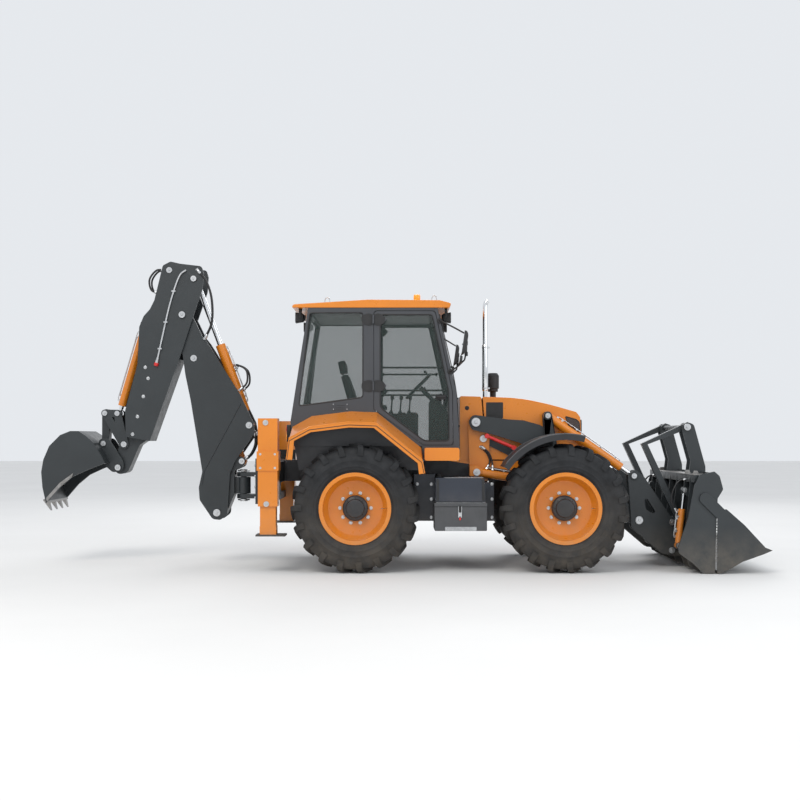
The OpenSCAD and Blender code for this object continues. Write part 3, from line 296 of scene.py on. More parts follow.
def both_sides(bm):
    """Adds the same faces mirrored across the machine's middle."""
    copied = bmesh.ops.duplicate(bm, geom=bm.verts[:] + bm.edges[:] + bm.faces[:])["geom"]
    vertices = [v for v in copied if isinstance(v, bmesh.types.BMVert)]
    bmesh.ops.scale(bm, vec=(1, -1, 1), verts=vertices)


def placed(name, data):
    """A new object of the scene."""
    made = bpy.data.objects.new(name, data)
    scene.collection.objects.link(made)
    return made


def plain_mesh(name, bm):
    """A mesh of the faces in bm, with their normals outward."""
    mesh = bpy.data.meshes.new(name)
    bmesh.ops.recalc_face_normals(bm, faces=bm.faces)
    bm.to_mesh(mesh)
    bm.free()
    return mesh


# The slot name that finished() looks up for a piece whose first finish is this one
SLOTS = {"orange_paint": "orange", "red_paint": "orange", "graphite_paint": "dark",
         "chrome_plate": "chrome", "cast_iron": "iron", "tyre_rubber": "tyre", "seat_cloth": "seat",
         "zinc_plate": "steel", "worn_steel": "steel", "tread_plate": "steel",
         "tank_paint": "black", "black_paint": "black", "hose_rubber": "black",
         "trim_grey": "frame_grey", "cab_paint": "frame_grey", "moulded_black": "plastic"}


def finished(name, body, bm, finishes, edge=0.0, smooth=35, slot_name=None):
    """Turns a form into a piece that rides on a body, its edges rounded by edge millimetres."""
    mesh = plain_mesh(name, bm)
    for finish in finishes:
        mesh.materials.append(finish)
    mesh.polygons.foreach_set("use_smooth", [True] * len(mesh.polygons))
    mesh.set_sharp_from_angle(angle=radians(smooth))
    made = placed(name, mesh)
    if edge:
        bevel = made.modifiers.new("rounded_edges", "BEVEL")
        bevel.width = edge / 1000
        bevel.segments = 2
        bevel.limit_method = "ANGLE"
        bevel.angle_limit = radians(32)
        bevel.harden_normals = True
    if body:
        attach(made, body)
    if slot_name is None:
        slot_name = SLOTS.get(finishes[0].name)
    return made


def plastic(name, body, bm, edge=0.0):
    """A piece of moulded black plastic or rubber."""
    return finished(name, body, bm, [moulded_black], edge)


def dressed(node, name, finishes, edge, pick=None):
    """A node's own shape with its edges rounded, which stands for the node."""
    bm = bmesh.new()
    bm.from_mesh(frame["nodes"][node].data)
    bmesh.ops.remove_doubles(bm, verts=bm.verts, dist=2e-5)
    for face in bm.faces:
        face.material_index = int(pick(face.calc_center_median(), face.normal)) if pick else 0
    bmesh.ops.dissolve_limit(bm, angle_limit=radians(0.4), verts=bm.verts, edges=bm.edges,
        delimit={"MATERIAL"})
    body = frame["nodes"][node]["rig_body"]
    made = finished(name, body, bm, finishes, edge)
    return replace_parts(made, node)


# Repeated pieces
def copies_tree(name, inputs, nodes, wires):
    """A Geometry Nodes tree that copies a piece, from tables of its inputs, nodes and wires."""
    tree = bpy.data.node_groups.new(name, "GeometryNodeTree")
    for label, kind in [("Geometry", "Geometry")] + inputs + [("Finish", "Material")]:
        tree.interface.new_socket(label, in_out="INPUT", socket_type="NodeSocket" + kind)
    tree.interface.new_socket("Geometry", in_out="OUTPUT", socket_type="NodeSocketGeometry")
    made = {key: tree.nodes.new(kind) for key, kind in nodes
        + [("start", "NodeGroupInput"), ("end", "NodeGroupOutput"),
        ("copies", "GeometryNodeInstanceOnPoints"), ("real", "GeometryNodeRealizeInstances"),
        ("finish", "GeometryNodeSetMaterial")]}
    for source, out, target, into in wires + [("copies", 0, "real", 0),
            ("real", 0, "finish", "Geometry"), ("start", "Finish", "finish", "Material"),
            ("finish", 0, "end", 0)]:
        tree.links.new(made[source].outputs[out], made[target].inputs[into])
    return tree, made


# Copies of a piece, each one turned about Z from the last
RING, ring_nodes = copies_tree("copies_in_a_ring", [("Count", "Int"), ("Turn", "Float")],
    [("points", "GeometryNodePoints"), ("index", "GeometryNodeInputIndex"), ("turn", "ShaderNodeMath"),
    ("angles", "ShaderNodeCombineXYZ")], [("start", "Count", "points", "Count"), ("index", 0, "turn", 0),
    ("start", "Turn", "turn", 1), ("turn", 0, "angles", "Z"), ("points", 0, "copies", "Points"),
    ("start", "Geometry", "copies", "Instance"), ("angles", 0, "copies", "Rotation")])
ring_nodes["turn"].operation = "MULTIPLY"
# A copy of a piece at every vertex, all turned alike
SPOT, _ = copies_tree("copies_at_spots", [("Piece", "Object"), ("Turn", "Vector")], [
    ("info", "GeometryNodeObjectInfo")], [
    ("start", "Piece", "info", "Object"), ("start", "Geometry", "copies", "Points"),
    ("info", "Geometry", "copies", "Instance"), ("start", "Turn", "copies", "Rotation")])


def grown_from(tree, mesh, values):
    """The plain mesh that a tree makes of a mesh with these inputs."""
    holder = placed("holder", mesh)
    modifier = holder.modifiers.new("copies", "NODES")
    modifier.node_group = tree
    for item in tree.interface.items_tree:
        if item.in_out == "INPUT" and item.name in values:
            modifier[item.identifier] = values[item.name]
    bpy.context.view_layer.update()
    graph = bpy.context.evaluated_depsgraph_get()
    result = bpy.data.meshes.new_from_object(holder.evaluated_get(graph))
    holder.modifiers.remove(modifier)
    bpy.data.objects.remove(holder)
    return result


def in_a_ring(bm, count, finish, place):
    """Copies of the faces in bm, evenly round Z and then placed by a matrix."""
    made = grown_from(RING, plain_mesh("seed", bm), {"Count": count, "Turn": radians(360 / count),
        "Finish": finish})
    made.transform(place)
    return made


def at_spots(spots, bm, finish, turn=(0, 0, 0)):
    """A copy of the faces in bm at each point, turned by these degrees."""
    pattern = placed("pattern", plain_mesh("seed", bm))
    points = bpy.data.meshes.new("spots")
    points.from_pydata([tuple(s) for s in spots], [], [])
    made = grown_from(SPOT, points, {"Piece": pattern, "Finish": finish,
        "Turn": [radians(a) for a in turn]})
    bpy.data.objects.remove(pattern)
    return made


def joined(meshes):
    """One bmesh of several meshes."""
    bm = bmesh.new()
    for mesh in meshes:
        bm.from_mesh(mesh)
    return bm


def bolt_form(head, height, washer=0.0):
    """A hexagon head on its washer, standing on Z = 0, sizes in millimetres."""
    bm = bmesh.new()
    rise = 0
    if washer:
        turned(bm, [(0, -1), (washer, -1), (washer, 3), (washer * 0.9, 3.6), (0, 3.6)], sides=20)
        rise = 3
    turned(bm, [(0, rise - 1), (head, rise - 1), (head, rise + height * 0.8),
        (head * 0.86, rise + height), (0, rise + height)], sides=6)
    return bm


def cap_form(radius, height):
    """A pin's end: a flat washer with its bolt in the middle."""
    bm = bmesh.new()
    turned(bm, [(0, -2), (radius, -2), (radius, height * 0.8), (radius * 0.95, height), (0, height)],
        sides=28)
    head = radius * 0.38
    turned(bm, [(0, height - 1), (head, height - 1), (head, height + head * 0.6),
        (head * 0.85, height + head * 0.75), (0, height + head * 0.75)], sides=6)
    return bm


def side_caps(name, body, rows, form, finish=zinc_plate):
    """Copies of a form on both sides of the machine: rows are (x, |y|, z)."""
    meshes = [at_spots([at(x, side * y, z) for x, y, z in rows], form(), finish, (-90 * side, 0, 0))
        for side in (-1, 1)]
    finished(name, body, joined(meshes), [finish], slot_name="")


# The machine's own plates by finish: node, name of its piece, rounding of its edges
DRESSED = [
    ([orange_paint], [
        ("cab_roof", "cab_roof_skin", 8), ("cowl", "cowl_skin", 6), ("hood", "hood_skin", 6),
        ("tilt_barrels", "tilt_ram_barrels", 3), ("lift_barrels", "lift_ram_barrels", 3),
        ("clam_barrels", "jaw_ram_barrels", 2), ("boom_barrel", "boom_ram_barrel", 3),
        ("dipper_barrel", "dipper_ram_barrel", 3), ("curl_barrel", "curl_ram_barrel", 3)]),
    ([orange_paint, black_paint], [
        ("main_frame", "chassis_frame", 4), ("rear_wings", "rear_fenders", 3),
        ("stabilizer_right", "stabilizer_leg_right", 4),
        ("stabilizer_left", "stabilizer_leg_left", 4)]),
    ([graphite_paint], [
        ("loader_arms", "loader_arm_plates", 4), ("levelling_links", "levelling_bars", 2),
        ("bell_cranks", "bell_crank_plates", 3), ("bucket_carrier", "carrier_plates", 3),
        ("bucket_back", "bucket_blade", 3), ("forks", "fork_tubes", 5),
        ("bucket_clam", "bucket_jaw", 3), ("carriage", "slide_carriage", 4),
        ("kingpost", "swing_post", 5), ("boom", "boom_plates", 5),
        ("dipper", "dipper_plates", 5), ("stick", "sliding_stick", 4),
        ("rocker", "rocker_plates", 3), ("bucket_link", "bucket_link_bar", 4)]),
    ([graphite_paint, worn_steel], [("dig_bucket", "digging_bucket", 3)]),
    ([cab_paint], [("cab_frame", "cab_shell", 6)]),
    ([cab_paint, window_glass], [
        ("door_right", "door_frame_right", 3), ("door_left", "door_frame_left", 3)]),
    ([black_paint], [
        ("knuckle_right", "front_fender_right", 3), ("knuckle_left", "front_fender_left", 3)]),
    ([cast_iron], [
        ("engine_block", "engine_casing", 6), ("front_axle", "front_axle_beam", 5),
        ("rear_axle", "rear_axle_beam", 5)]),
    ([tank_paint], [("tank", "fuel_tank", 6)]),
    ([trim_grey], [("tool_box", "tool_chest", 5)]),
    ([moulded_black], [("precleaner", "air_intake", 4)]),
    ([zinc_plate], [("carrier_pins", "carrier_pivot_pins", 2)]),
    ([chrome_plate], [
        ("tilt_rods", "tilt_ram_rods", 1), ("lift_rods", "lift_ram_rods", 1),
        ("clam_rods", "jaw_ram_rods", 1), ("boom_rod", "boom_ram_rod", 1),
        ("dipper_rod", "dipper_ram_rod", 1), ("curl_rod", "curl_ram_rod", 1)])]


# Bounds in metres between the first and the second finish of a node
PANE_INNER, PANE_OUTER = 0.7265, 0.7335
FOOT_TOP, TOOTH_TOP, TOOTH_X = 0.43, 0.745, -3.84
WING_SIDE, CASING_SIDE, TOWER_FOOT = 1.13, 0.93, 0.93
HUB_R = 0.1352


def frame_zone(centre, normal):
    """Rails inside and rear rails are black; towers and stabilizer casings are orange."""
    in_tower = 760 < centre.x * 1000 - FRAME_X < 2060 and centre.z > TOWER_FOOT
    return not (abs(centre.y) > CASING_SIDE or in_tower)


def pane_zone(centre, normal):
    """The pane in a door lies between its two faces."""
    return PANE_INNER < abs(centre.y) < PANE_OUTER and abs(normal.y) > 0.9


def foot_zone(centre, normal):
    """The foot of a stabilizer is black."""
    return centre.z < FOOT_TOP


ZONES = {"main_frame": frame_zone, "door_right": pane_zone, "door_left": pane_zone,
         "stabilizer_right": foot_zone, "stabilizer_left": foot_zone,
         "dig_bucket": lambda centre, normal: centre.z < TOOTH_TOP and centre.x < TOOTH_X,
         # The downward faces under the rear fenders take black paint: painted shade under the fenders.
         "rear_wings": lambda centre, normal: normal.z < -0.2 and abs(centre.y) < WING_SIDE}
for finishes, rows in DRESSED:
    for node, name, edge in rows:
        dressed(node, name, finishes, edge, ZONES.get(node))

cab_glass = frame["nodes"]["cab_glass"].data
cab_glass.materials.clear()
cab_glass.materials.append(window_glass)

# Wheels
TYRE_R = 685
TREAD_DEPTH = 38
LUGS = 19
REAR_AXLE_X, FRONT_AXLE_X = -474, 1746
WHEEL_Y = 945
WHEELS = [("front_right", FRONT_AXLE_X, -1), ("front_left", FRONT_AXLE_X, 1),
          ("rear_right", REAR_AXLE_X, -1), ("rear_left", REAR_AXLE_X, 1)]
CARCASS = [(352.5, 189), (392, 189), (398, 196), (412, 209), (440, 213), (444, 216), (452, 216),
           (456, 213), (500, 212), (504, 214), (512, 214), (516, 211), (560, 205),
           (TYRE_R - 66, 184), (TYRE_R - 46, 160), (TYRE_R - TREAD_DEPTH, 120),
           (TYRE_R - TREAD_DEPTH + 3, 0)]
# A lug's stations: distance from the middle, top and foot radius, swing in degrees, half width
LUG = [(4, 683, 640, 0.0, 19), (50, 684, 640, 3.4, 21), (100, 684, 640, 6.6, 23),
       (142, 683, 636, 8.7, 25), (168, 668, 620, 9.6, 27), (194, 645, 600, 10.2, 29),
       (208, 604, 575, 10.4, 30), (214, 568, 560, 10.4, 27)]


def tread_lug(hand):
    """One bar of the tread, from the middle to the shoulder, round the axle along Z."""
    sections = []
    for out, top, foot, swing, half in LUG:
        section = []
        for radius, wide in ((foot, half + 7), (top, half), (top, -half), (foot, -half - 7)):
            angle = radians(-hand * swing) + wide / top
            section.append(Vector((radius * cos(angle), radius * sin(angle), hand * out)) / 1000)
        sections.append(section)
    bm = bmesh.new()
    loft(bm, sections)
    return bm


def hub_frame(x, side):
    """Places a form made round Z so that its top points out of the machine's side."""
    return Matrix.Translation(at(x, side * WHEEL_Y, TYRE_R)) @ Matrix.Rotation(radians(-90 * side), 4,
        "X")


def rim_zone(centre, normal):
    """The hub in the middle of a wheel is black."""
    for _, x, side in WHEELS:
        c = at(x, side * WHEEL_Y, TYRE_R)
        if abs(centre.x - c.x) < 0.6 and abs(centre.y - c.y) < 0.3:
            return hypot(centre.x - c.x, centre.z - c.z) < HUB_R
    return False


for label, x, side in WHEELS:
    body = "wheel_" + label
    place = hub_frame(x, side)
    tread = bmesh.new()
    turned(tread, CARCASS + [(r, -w) for r, w in CARCASS[-2::-1]] + [CARCASS[0]], sides=96)
    bmesh.ops.remove_doubles(tread, verts=tread.verts, dist=1e-5)
    tread.transform(place)
    for hand, start in ((1, 0.0), (-1, 180 / LUGS)):
        tread.from_mesh(in_a_ring(tread_lug(hand), LUGS, tyre_rubber,
            place @ Matrix.Rotation(radians(start), 4, "Z")))
    tyre = finished("tyre_" + label + "_tread", body, tread, [tyre_rubber], 3, 40)
    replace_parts(tyre, "tyre_" + label)
    dressed("rim_" + label, "rim_" + label + "_disc", [orange_paint, black_paint], 3, rim_zone)
    for name, bm, radius, count, height, finish in (
            ("wheel_" + label + "_studs", bolt_form(13, 14, 19), 165, 10, 33, zinc_plate),
            ("hub_" + label + "_screws", bolt_form(7, 6, 0), 112, 8, 118, black_paint)):
        bm.transform(Matrix.Translation((radius / 1000, 0, height / 1000)))
        finished(name, body, joined([in_a_ring(bm, count, finish, place)]), [finish], slot_name="")
    valve = bmesh.new()
    piped(valve, [Vector((0.325, 0, 0.10)), Vector((0.31, 0, 0.125)), Vector((0.29, 0, 0.14))], 4)
    turned(valve, [(0, 0), (6, 0), (6, 14), (0, 16)], Vector((0.292, 0, 0.138)), (-0.8, 0, 0.6), 12)
    valve.transform(place)
    finished("valve_" + label, body, valve, [zinc_plate], slot_name="")

# Pin caps: name, body, radius, height and the pins' ends as (x, |y|, z)
PIN_CAPS = [
    ("boom_foot_caps", "kingpost", 42, 10, [(-2076, 162, 583)]),
    ("king_ram_caps", "kingpost", 34, 8, [(-1801, 114, 1166)]),
    ("boom_pin_caps", "boom", 38, 12, [(-1712, 150, 1575), (-2340, 150, 2335), (-2465, 196, 2825)]),
    ("dipper_pin_caps", "dipper", 34, 10, [(-2336, 190, 3233), (-2612, 182, 3330)]),
    ("stick_pin_caps", "stick", 34, 10, [(-2909, 80, 2743), (-3197, 170, 1096), (-3138, 130, 1358)]),
    ("rocker_pin_caps", "rocker", 30, 9, [(-3214, 129, 1709), (-3355, 129, 1712)]),
    ("bucket_pin_caps", "dig_bucket", 30, 9, [(-3364, 160, 1368)]),
    ("stabilizer_pins", "chassis", 30, 10, [(-1415, 1130, 1591), (-1407, 1130, 735)]),
    ("tower_pin_caps", "chassis", 34, 9, [(840, 466, 1605)]),
    ("tower_big_caps", "chassis", 50, 12, [(840, 467, 1605)]),
    ("tower_low_caps", "chassis", 40, 12, [(929, 374, 1423), (848, 494, 1052)]),
    ("crank_pin_caps", "arms", 38, 10, [(1691, 498, 1186)]),
    ("lift_eye_caps", "arms", 34, 14, [(1851, 452, 891)]),
    ("ram_top_caps", "bell_cranks", 30, 9, [(1634, 506, 1676)]),
    ("crank_foot_caps", "bell_cranks", 28, 9, [(1780, 374, 1004)]),
    ("carrier_pin_caps", "carrier_pins", 40, 8, [(2644, 502, 521)]),
    ("carrier_caps", "bucket", 30, 9, [(2587, 506, 1011)]),
    ("hanger_caps", "bucket", 34, 9, [(3010, 502, 500), (3005, 502, 189)]),
    ("jaw_ram_caps", "bucket", 26, 8, [(2995, 884, 274)]),
    ("fork_pin_caps", "bucket", 38, 12, [(3139, 650, 1549)]),
    ("jaw_lever_caps", "clam", 26, 8, [(3060, 866, 870)])]
for name, body, radius, height, pins in PIN_CAPS:
    side_caps(name, body, pins, lambda: cap_form(radius, height))

# Bolts: name, body, half width, height and washer radius of a head, and their places
BOLTS = [
    ("dipper_guide_bolts", "dipper", (13, 9, 19), [
        (-2882, 182, 2229), (-2851, 182, 2104), (-2905, 182, 1900), (-2971, 182, 1672),
        (-3027, 182, 1472)]),
    ("stabilizer_bolts", "chassis", (15, 10, 22), [
        (x, 1130, z) for x in (-1470, -1316) for z in (1115, 1259)]),
    ("side_plate_bolts", "chassis", (12, 8, 18), [
        (x, 600, z) for x in (188, 345, 915, 1010) for z in (560, 760, 925)]),
    ("tool_chest_screws", "chassis", (8, 5), [(x, 1042, 467) for x in (490, 798)]),
    ("sill_vent_screws", "chassis", (6, 4), [
        (x, 752, z) for x in (-722, -574) for z in (1742, 1796)])]
for name, body, size, spots in BOLTS:
    side_caps(name, body, spots, lambda: bolt_form(*size))

# Cab fittings
CAB_Y, HOOD_Y, HINGE_X = 750, 335, -290
SIDE_PANE = [(-978, 2790), (-402, 2790), (-402, 1872), (-1095, 1778)]
DOOR_PANE = [(-214, 1762), (-214, 2769), (350, 2769), (528, 1940), (531, 1400), (262, 1400)]


def soft_corners(points, radius, steps=4):
    """A closed outline whose corners are rounded."""
    path = []
    for i, corner in enumerate(points):
        a, p, b = Vector(points[i - 1]), Vector(corner), Vector(points[(i + 1) % len(points)])
        start = p + (a - p).normalized() * radius
        end = p + (b - p).normalized() * radius
        for k in range(steps + 1):
            t = k / steps
            path.append(tuple(start * (1 - t) ** 2 + p * 2 * t * (1 - t) + end * t * t))
    return path


def seal(bm, outline, y, radius):
    """A rubber seal round an outline in the side view."""
    points = [at(x, y, z) for x, z in soft_corners(outline, 34)]
    count = len(points)
    sections = []
    for i, point in enumerate(points):
        forward = (points[(i + 1) % count] - points[i - 1]).normalized()
        sections.append(circle(point, forward.cross(ACROSS), ACROSS, radius, 8))
    loft(bm, sections, closed=True)


def leaf(toward, z):
    """One leaf of a door hinge, rounded on its far side."""
    rows = ((12, 58), (50, 66), (104, 52), (128, 22))
    return ([(HINGE_X + toward * out, z + up) for out, up in rows]
        + [(HINGE_X + toward * out, z - up) for out, up in rows[::-1]])


def leaves(name, body, toward, sides):
    """The hinge leaves on one side of the pins, each with its three screws."""
    plates, spots = bmesh.new(), []
    for side in sides:
        for z in (1994, 2714):
            side_plate(plates, leaf(toward, z), side * (CAB_Y + 1), side * (CAB_Y + 9))
            spots += [(side, (HINGE_X + toward * x, CAB_Y + 8, z + up))
                for x, up in ((40, 42), (40, -42), (104, 0))]
    plastic(name, body, plates, 2.0)
    meshes = [at_spots([at(x, side * y, z) for s, (x, y, z) in spots if s == side], bolt_form(8, 5),
        moulded_black, (90 if side < 0 else -90, 0, 0)) for side in sides]
    finished(name + "_screws", body, joined(meshes), [moulded_black], slot_name="")


leaves("hinge_leaves_cab", "chassis", -1, (-1, 1))
leaves("hinge_leaves_door_right", "door_right", 1, (-1,))
leaves("hinge_leaves_door_left", "door_left", 1, (1,))

seals = bmesh.new()
seal(seals, SIDE_PANE, CAB_Y - 1, 7)
both_sides(seals)
plastic("side_window_seals", "chassis", seals)
for side, name in SIDES:
    trim = bmesh.new()
    seal(trim, DOOR_PANE, side * (CAB_Y - 1), 7)
    seal(trim, DOOR_PANE, side * (CAB_Y - 38), 6)
    plastic("door_seal_" + name, "door_" + name, trim)
    handle = bmesh.new()
    side_plate(handle, rounded(385, 505, 1846, 1900, 14), side * (CAB_Y - 3), side * (CAB_Y + 7))
    piped(handle, smooth_path([at(400, side * (CAB_Y + 5), 1873), at(410, side * (CAB_Y + 34), 1873),
        at(480, side * (CAB_Y + 38), 1873), at(494, side * (CAB_Y + 5), 1873)], 5), 9)
    plastic("door_handle_" + name, "door_" + name, handle, 1.5)
    rail, rail_y = bmesh.new(), side * (CAB_Y - 48)
    for z in (1947, 2196):
        x_front = 500 - (z - 1900) * 0.21
        piped(rail, [at(-205, rail_y, z), at(x_front, rail_y, z)], 11)
        for x in (-205, x_front):
            turned(rail, [(0, 0), (20, 0), (20, 10), (0, 10)], at(x, side * (CAB_Y - 50), z),
                (0, side, 0), 16)
    plastic("door_rail_" + name, "door_" + name, rail)

vents = bmesh.new()
side_plate(vents, rounded(-735, -560, 1730, 1808, 10), CAB_Y - 1, CAB_Y + 3)
for z in (1748, 1768, 1788):
    side_plate(vents, rounded(-700, -596, z - 3, z + 5, 3), CAB_Y + 2, CAB_Y + 9)
both_sides(vents)
finished("sill_vents", "chassis", vents, [cab_paint], 1.0)

eyes = bmesh.new()
for x, z in ((-799, 2904), (377, 2926)):
    for y in (-560, 560):
        piped(eyes, [at(x - 24, y, z - 4), at(x - 28, y, z + 30), at(x - 20, y, z + 62),
            at(x, y, z + 76), at(x + 20, y, z + 62), at(x + 28, y, z + 30), at(x + 24, y, z - 4)], 6)
        block(eyes, (x - 44, y - 20, z - 6), (x + 44, y + 20, z + 3))
finished("lifting_eyes", "chassis", eyes, [zinc_plate], 0)

beacon, beacon_foot = bmesh.new(), at(190, -300, 0)
turned(beacon, [(0, 2926), (46, 2926), (46, 2940), (41, 2946), (0, 2946)], beacon_foot, UP, 40, 1)
turned(beacon, [(38, 2946), (40, 2956), (37, 2960), (40, 2966), (37, 2971), (40, 2977), (37, 2982),
    (39, 2988), (38, 3022), (33, 3036), (20, 3040), (0, 3041)], beacon_foot, UP, 40)
made = finished("roof_beacon", "chassis", beacon, [amber_lens, moulded_black])
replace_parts(made, "lamps")

LAMP_Y, LAMP_Z, LENS_HALF = 570, 2750, (56, 50)
work_lamps = bmesh.new()
for x, toward in ((-1095, -1), (507, 1)):
    for y in (-LAMP_Y, LAMP_Y):
        back, face = x - toward * 46, x + toward * 50
        stations = ((back, 34), (back + toward * 14, 50), (face - toward * 20, 60), (face, 64))
        loft(work_lamps, [[at(reach, y + a, LAMP_Z + b) for a, b in rounded(-half, half, -half * 0.9,
            half * 0.9, half * 0.3)] for reach, half in stations])
        wide, high = LENS_HALF
        lens = [(y + a, LAMP_Z + b) for a, b in rounded(-wide, wide, -high, high, 14)]
        front_plate(work_lamps, lens, *sorted((face - 2, face + toward * 3)), 1)
        for fin in range(-2, 3):
            block(work_lamps, (back - 3, y + fin * 12 - 2, 2722), (back + 12, y + fin * 12 + 2, 2778))
        for y0, y1, z0, z1, half in ((-70, -64, 2745, 2846, 12), (64, 70, 2745, 2846, 12),
                                     (-70, 70, 2836, 2843, 14)):
            block(work_lamps, (x - half, y + y0, z0), (x + half, y + y1, z1))
finished("work_lamps", "chassis", work_lamps, [moulded_black, lamp_glass], 2.0)

mirror_set = bmesh.new()
for z, half_y, half_z, x, thick in ((2446, 96, 128, 700, 46), (2268, 60, 44, 664, 30)):
    sections = []
    for deep, share in ((0, 0.97), (4, 1.0), (thick * 0.5, 0.96), (thick * 0.85, 0.8),
                        (thick, 0.6)):
        sections.append([at(x - 30 + deep + b * 0.14, 960 + a, z + b) for a, b in rounded(
            -half_y * share, half_y * share, -half_z * share, half_z * share, 34 * share)])
    loft(mirror_set, sections)
    loft(mirror_set, [[at(x - 32 + deep + b * 0.14, 960 + a, z + b) for a, b in rounded(
        -half_y * 0.9, half_y * 0.9, -half_z * 0.93, half_z * 0.93, 30)] for deep in (0, 4)], 1)
piped(mirror_set, smooth_path([at(430, 742, 2700), at(432, 772, 2702), at(500, 850, 2660),
    at(640, 900, 2580), at(700, 905, 2530), at(712, 908, 2380), at(690, 908, 2262)], 6), 9)
piped(mirror_set, smooth_path([at(543, 742, 2150), at(545, 775, 2150), at(620, 850, 2200),
    at(686, 905, 2262)], 6), 9)
for x, z in ((430, 2700), (543, 2150)):
    turned(mirror_set, [(0, -10), (30, -10), (30, 8), (22, 14), (0, 14)], at(x, 752, z), (0, 1, 0), 24)
for z in (2446, 2330):
    turned(mirror_set, [(0, -22), (16, -22), (16, 22), (0, 22)], at(711, 908, z), UP, 16)
    block(mirror_set, (690, 900, z - 14), (716, 940, z + 14))
both_sides(mirror_set)
made = finished("mirror_heads", "chassis", mirror_set, [moulded_black, mirror_silver])
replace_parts(made, "mirrors")

# Seat and controls
PAD_ROWS = 14


def pad(bm, centre, size, crown, tilt, channels=0):
    """A stuffed cushion: crowned faces, sides drawn in, sewn channels across its top."""
    half = Vector(size) / 2
    turn = Matrix.Rotation(radians(tilt), 4, "Y")
    bmesh.ops.create_cube(bm, size=2)
    bmesh.ops.subdivide_edges(bm, edges=bm.edges[:], cuts=PAD_ROWS, use_grid_fill=True)
    for v in bm.verts:
        u = Vector(v.co)
        sphere = u.normalized() * max(abs(u.x), abs(u.y), abs(u.z))
        soft = u.lerp(sphere, 0.22)
        rise = crown * (1 - u.x ** 2) * (1 - u.y ** 2)
        p = Vector((soft.x * half.x * (1 - 0.05 * (1 - u.y ** 2)), soft.y * half.y, 0))
        p.z = soft.z * half.z + (rise if u.z > 0 else -rise * 0.3) * abs(u.z)
        if channels and u.z > 0.6:
            wave = abs(sin(pi * channels * (u.x + 1) / 2))
            p.z -= 7 * (1 - wave) ** 4 * (1 - u.y ** 4)
        p = turn @ p
        v.co = at(centre[0] + p.x, centre[1] + p.y, centre[2] + p.z)


for name, centre, size, crown, tilt, channels in (
        ("seat_cushion", (-255, 0, 1612), (470, 500, 100), 16, -2, 4),
        ("seat_back", (-560, 0, 1905), (520, 480, 92), 14, 74, 4),
        ("seat_headrest", (-655, 0, 2235), (150, 270, 84), 10, 78, 0)):
    cushion = bmesh.new()
    pad(cushion, centre, size, crown, tilt, channels)
    made = finished(name, "chassis", cushion, [seat_cloth])

seat_frame = bmesh.new()
block(seat_frame, (-430, -95, 1393), (-180, 95, 1480))
for i in range(5):
    wide = 118 - (i % 2) * 14
    block(seat_frame, (-305 - wide, -wide, 1478 + i * 15), (-305 + wide, wide, 1494 + i * 15))
block(seat_frame, (-470, -225, 1548), (-60, 225, 1568))
side_plate(seat_frame, [(-470, 1550), (-430, 1550), (-600, 2130), (-640, 2130)], -90, 90)
for side in (-1, 1):
    piped(seat_frame, [at(-640, side * 60, 2100), at(-668, side * 60, 2230)], 7)
    side_plate(seat_frame, rounded(-470, -150, 1755, 1800, 20), side * 262, side * 315)
    side_plate(seat_frame, rounded(-500, -460, 1600, 1790, 12), side * 240, side * 262)
made = plastic("seat_base", "chassis", seat_frame, 4)
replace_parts(made, "seat")

wheel = bmesh.new()
sections = []
for i, point in enumerate(circle(Vector(), Vector((1, 0, 0)), ACROSS, 190, 48)):
    # The rim swells 24 times a turn, for the fingers
    thick = 15.5 + 1.2 * cos(24 * 2 * pi * i / 48)
    sections.append(circle(point, point.normalized(), UP, thick, 12))
loft(wheel, sections, closed=True)
for angle in (90, 210, 330):
    a = radians(angle)
    out = Vector((cos(a), sin(a), 0))
    piped(wheel, [out * 0.03, out * 0.12 + Vector((0, 0, -0.008)), out * 0.186], 11)
turned(wheel, [(0, -16), (46, -16), (50, -6), (44, 8), (30, 14), (0, 16)])
turned(wheel, [(0, 0), (8, 0), (8, 40), (14, 46), (18, 58), (12, 70), (0, 74)],
    Vector((0.17, 0.05, 0.01)), UP, 20)
wheel.transform(Matrix.Translation(at(215, 0, 2025)) @ Matrix.Rotation(radians(-45), 4, "Y"))
piped(wheel, [at(380, 0, 1860), at(232, 0, 2008)], 26)
side_plate(wheel, soft_corners([(330, 1393), (560, 1393), (560, 1700), (420, 1900), (330, 1850)], 30),
    -130, 130)
for side in (-1, 1):
    piped(wheel, [at(300, side * 40, 1960), at(280, side * 150, 2010)], 5)
block(wheel, (-300, -560, 1393), (200, -340, 1700))
for x in (-200, 0, 120):
    block(wheel, (x, -540, 1698), (x + 60, -480, 1712))
for x in (-100, 0, 100):
    turned(wheel, [(0, 0), (26, 0), (22, 20), (14, 34), (9, 40), (8, 150), (14, 156), (21, 172),
        (21, 190), (12, 206), (0, 210)], at(x, -430, 1698), (0.08, 0, 1), 24)
made = plastic("steering_and_console", "chassis", wheel, 3)
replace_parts(made, "controls")

# Window seals and wipers at the front and rear, lamps behind the cab
def rear_face(z):
    return -1189 + (z - 1600) * 0.1546


def front_face(z):
    return 612 - (z - 1921) * 0.2248 if z > 1921 else 612 + (1921 - z) * 0.0535


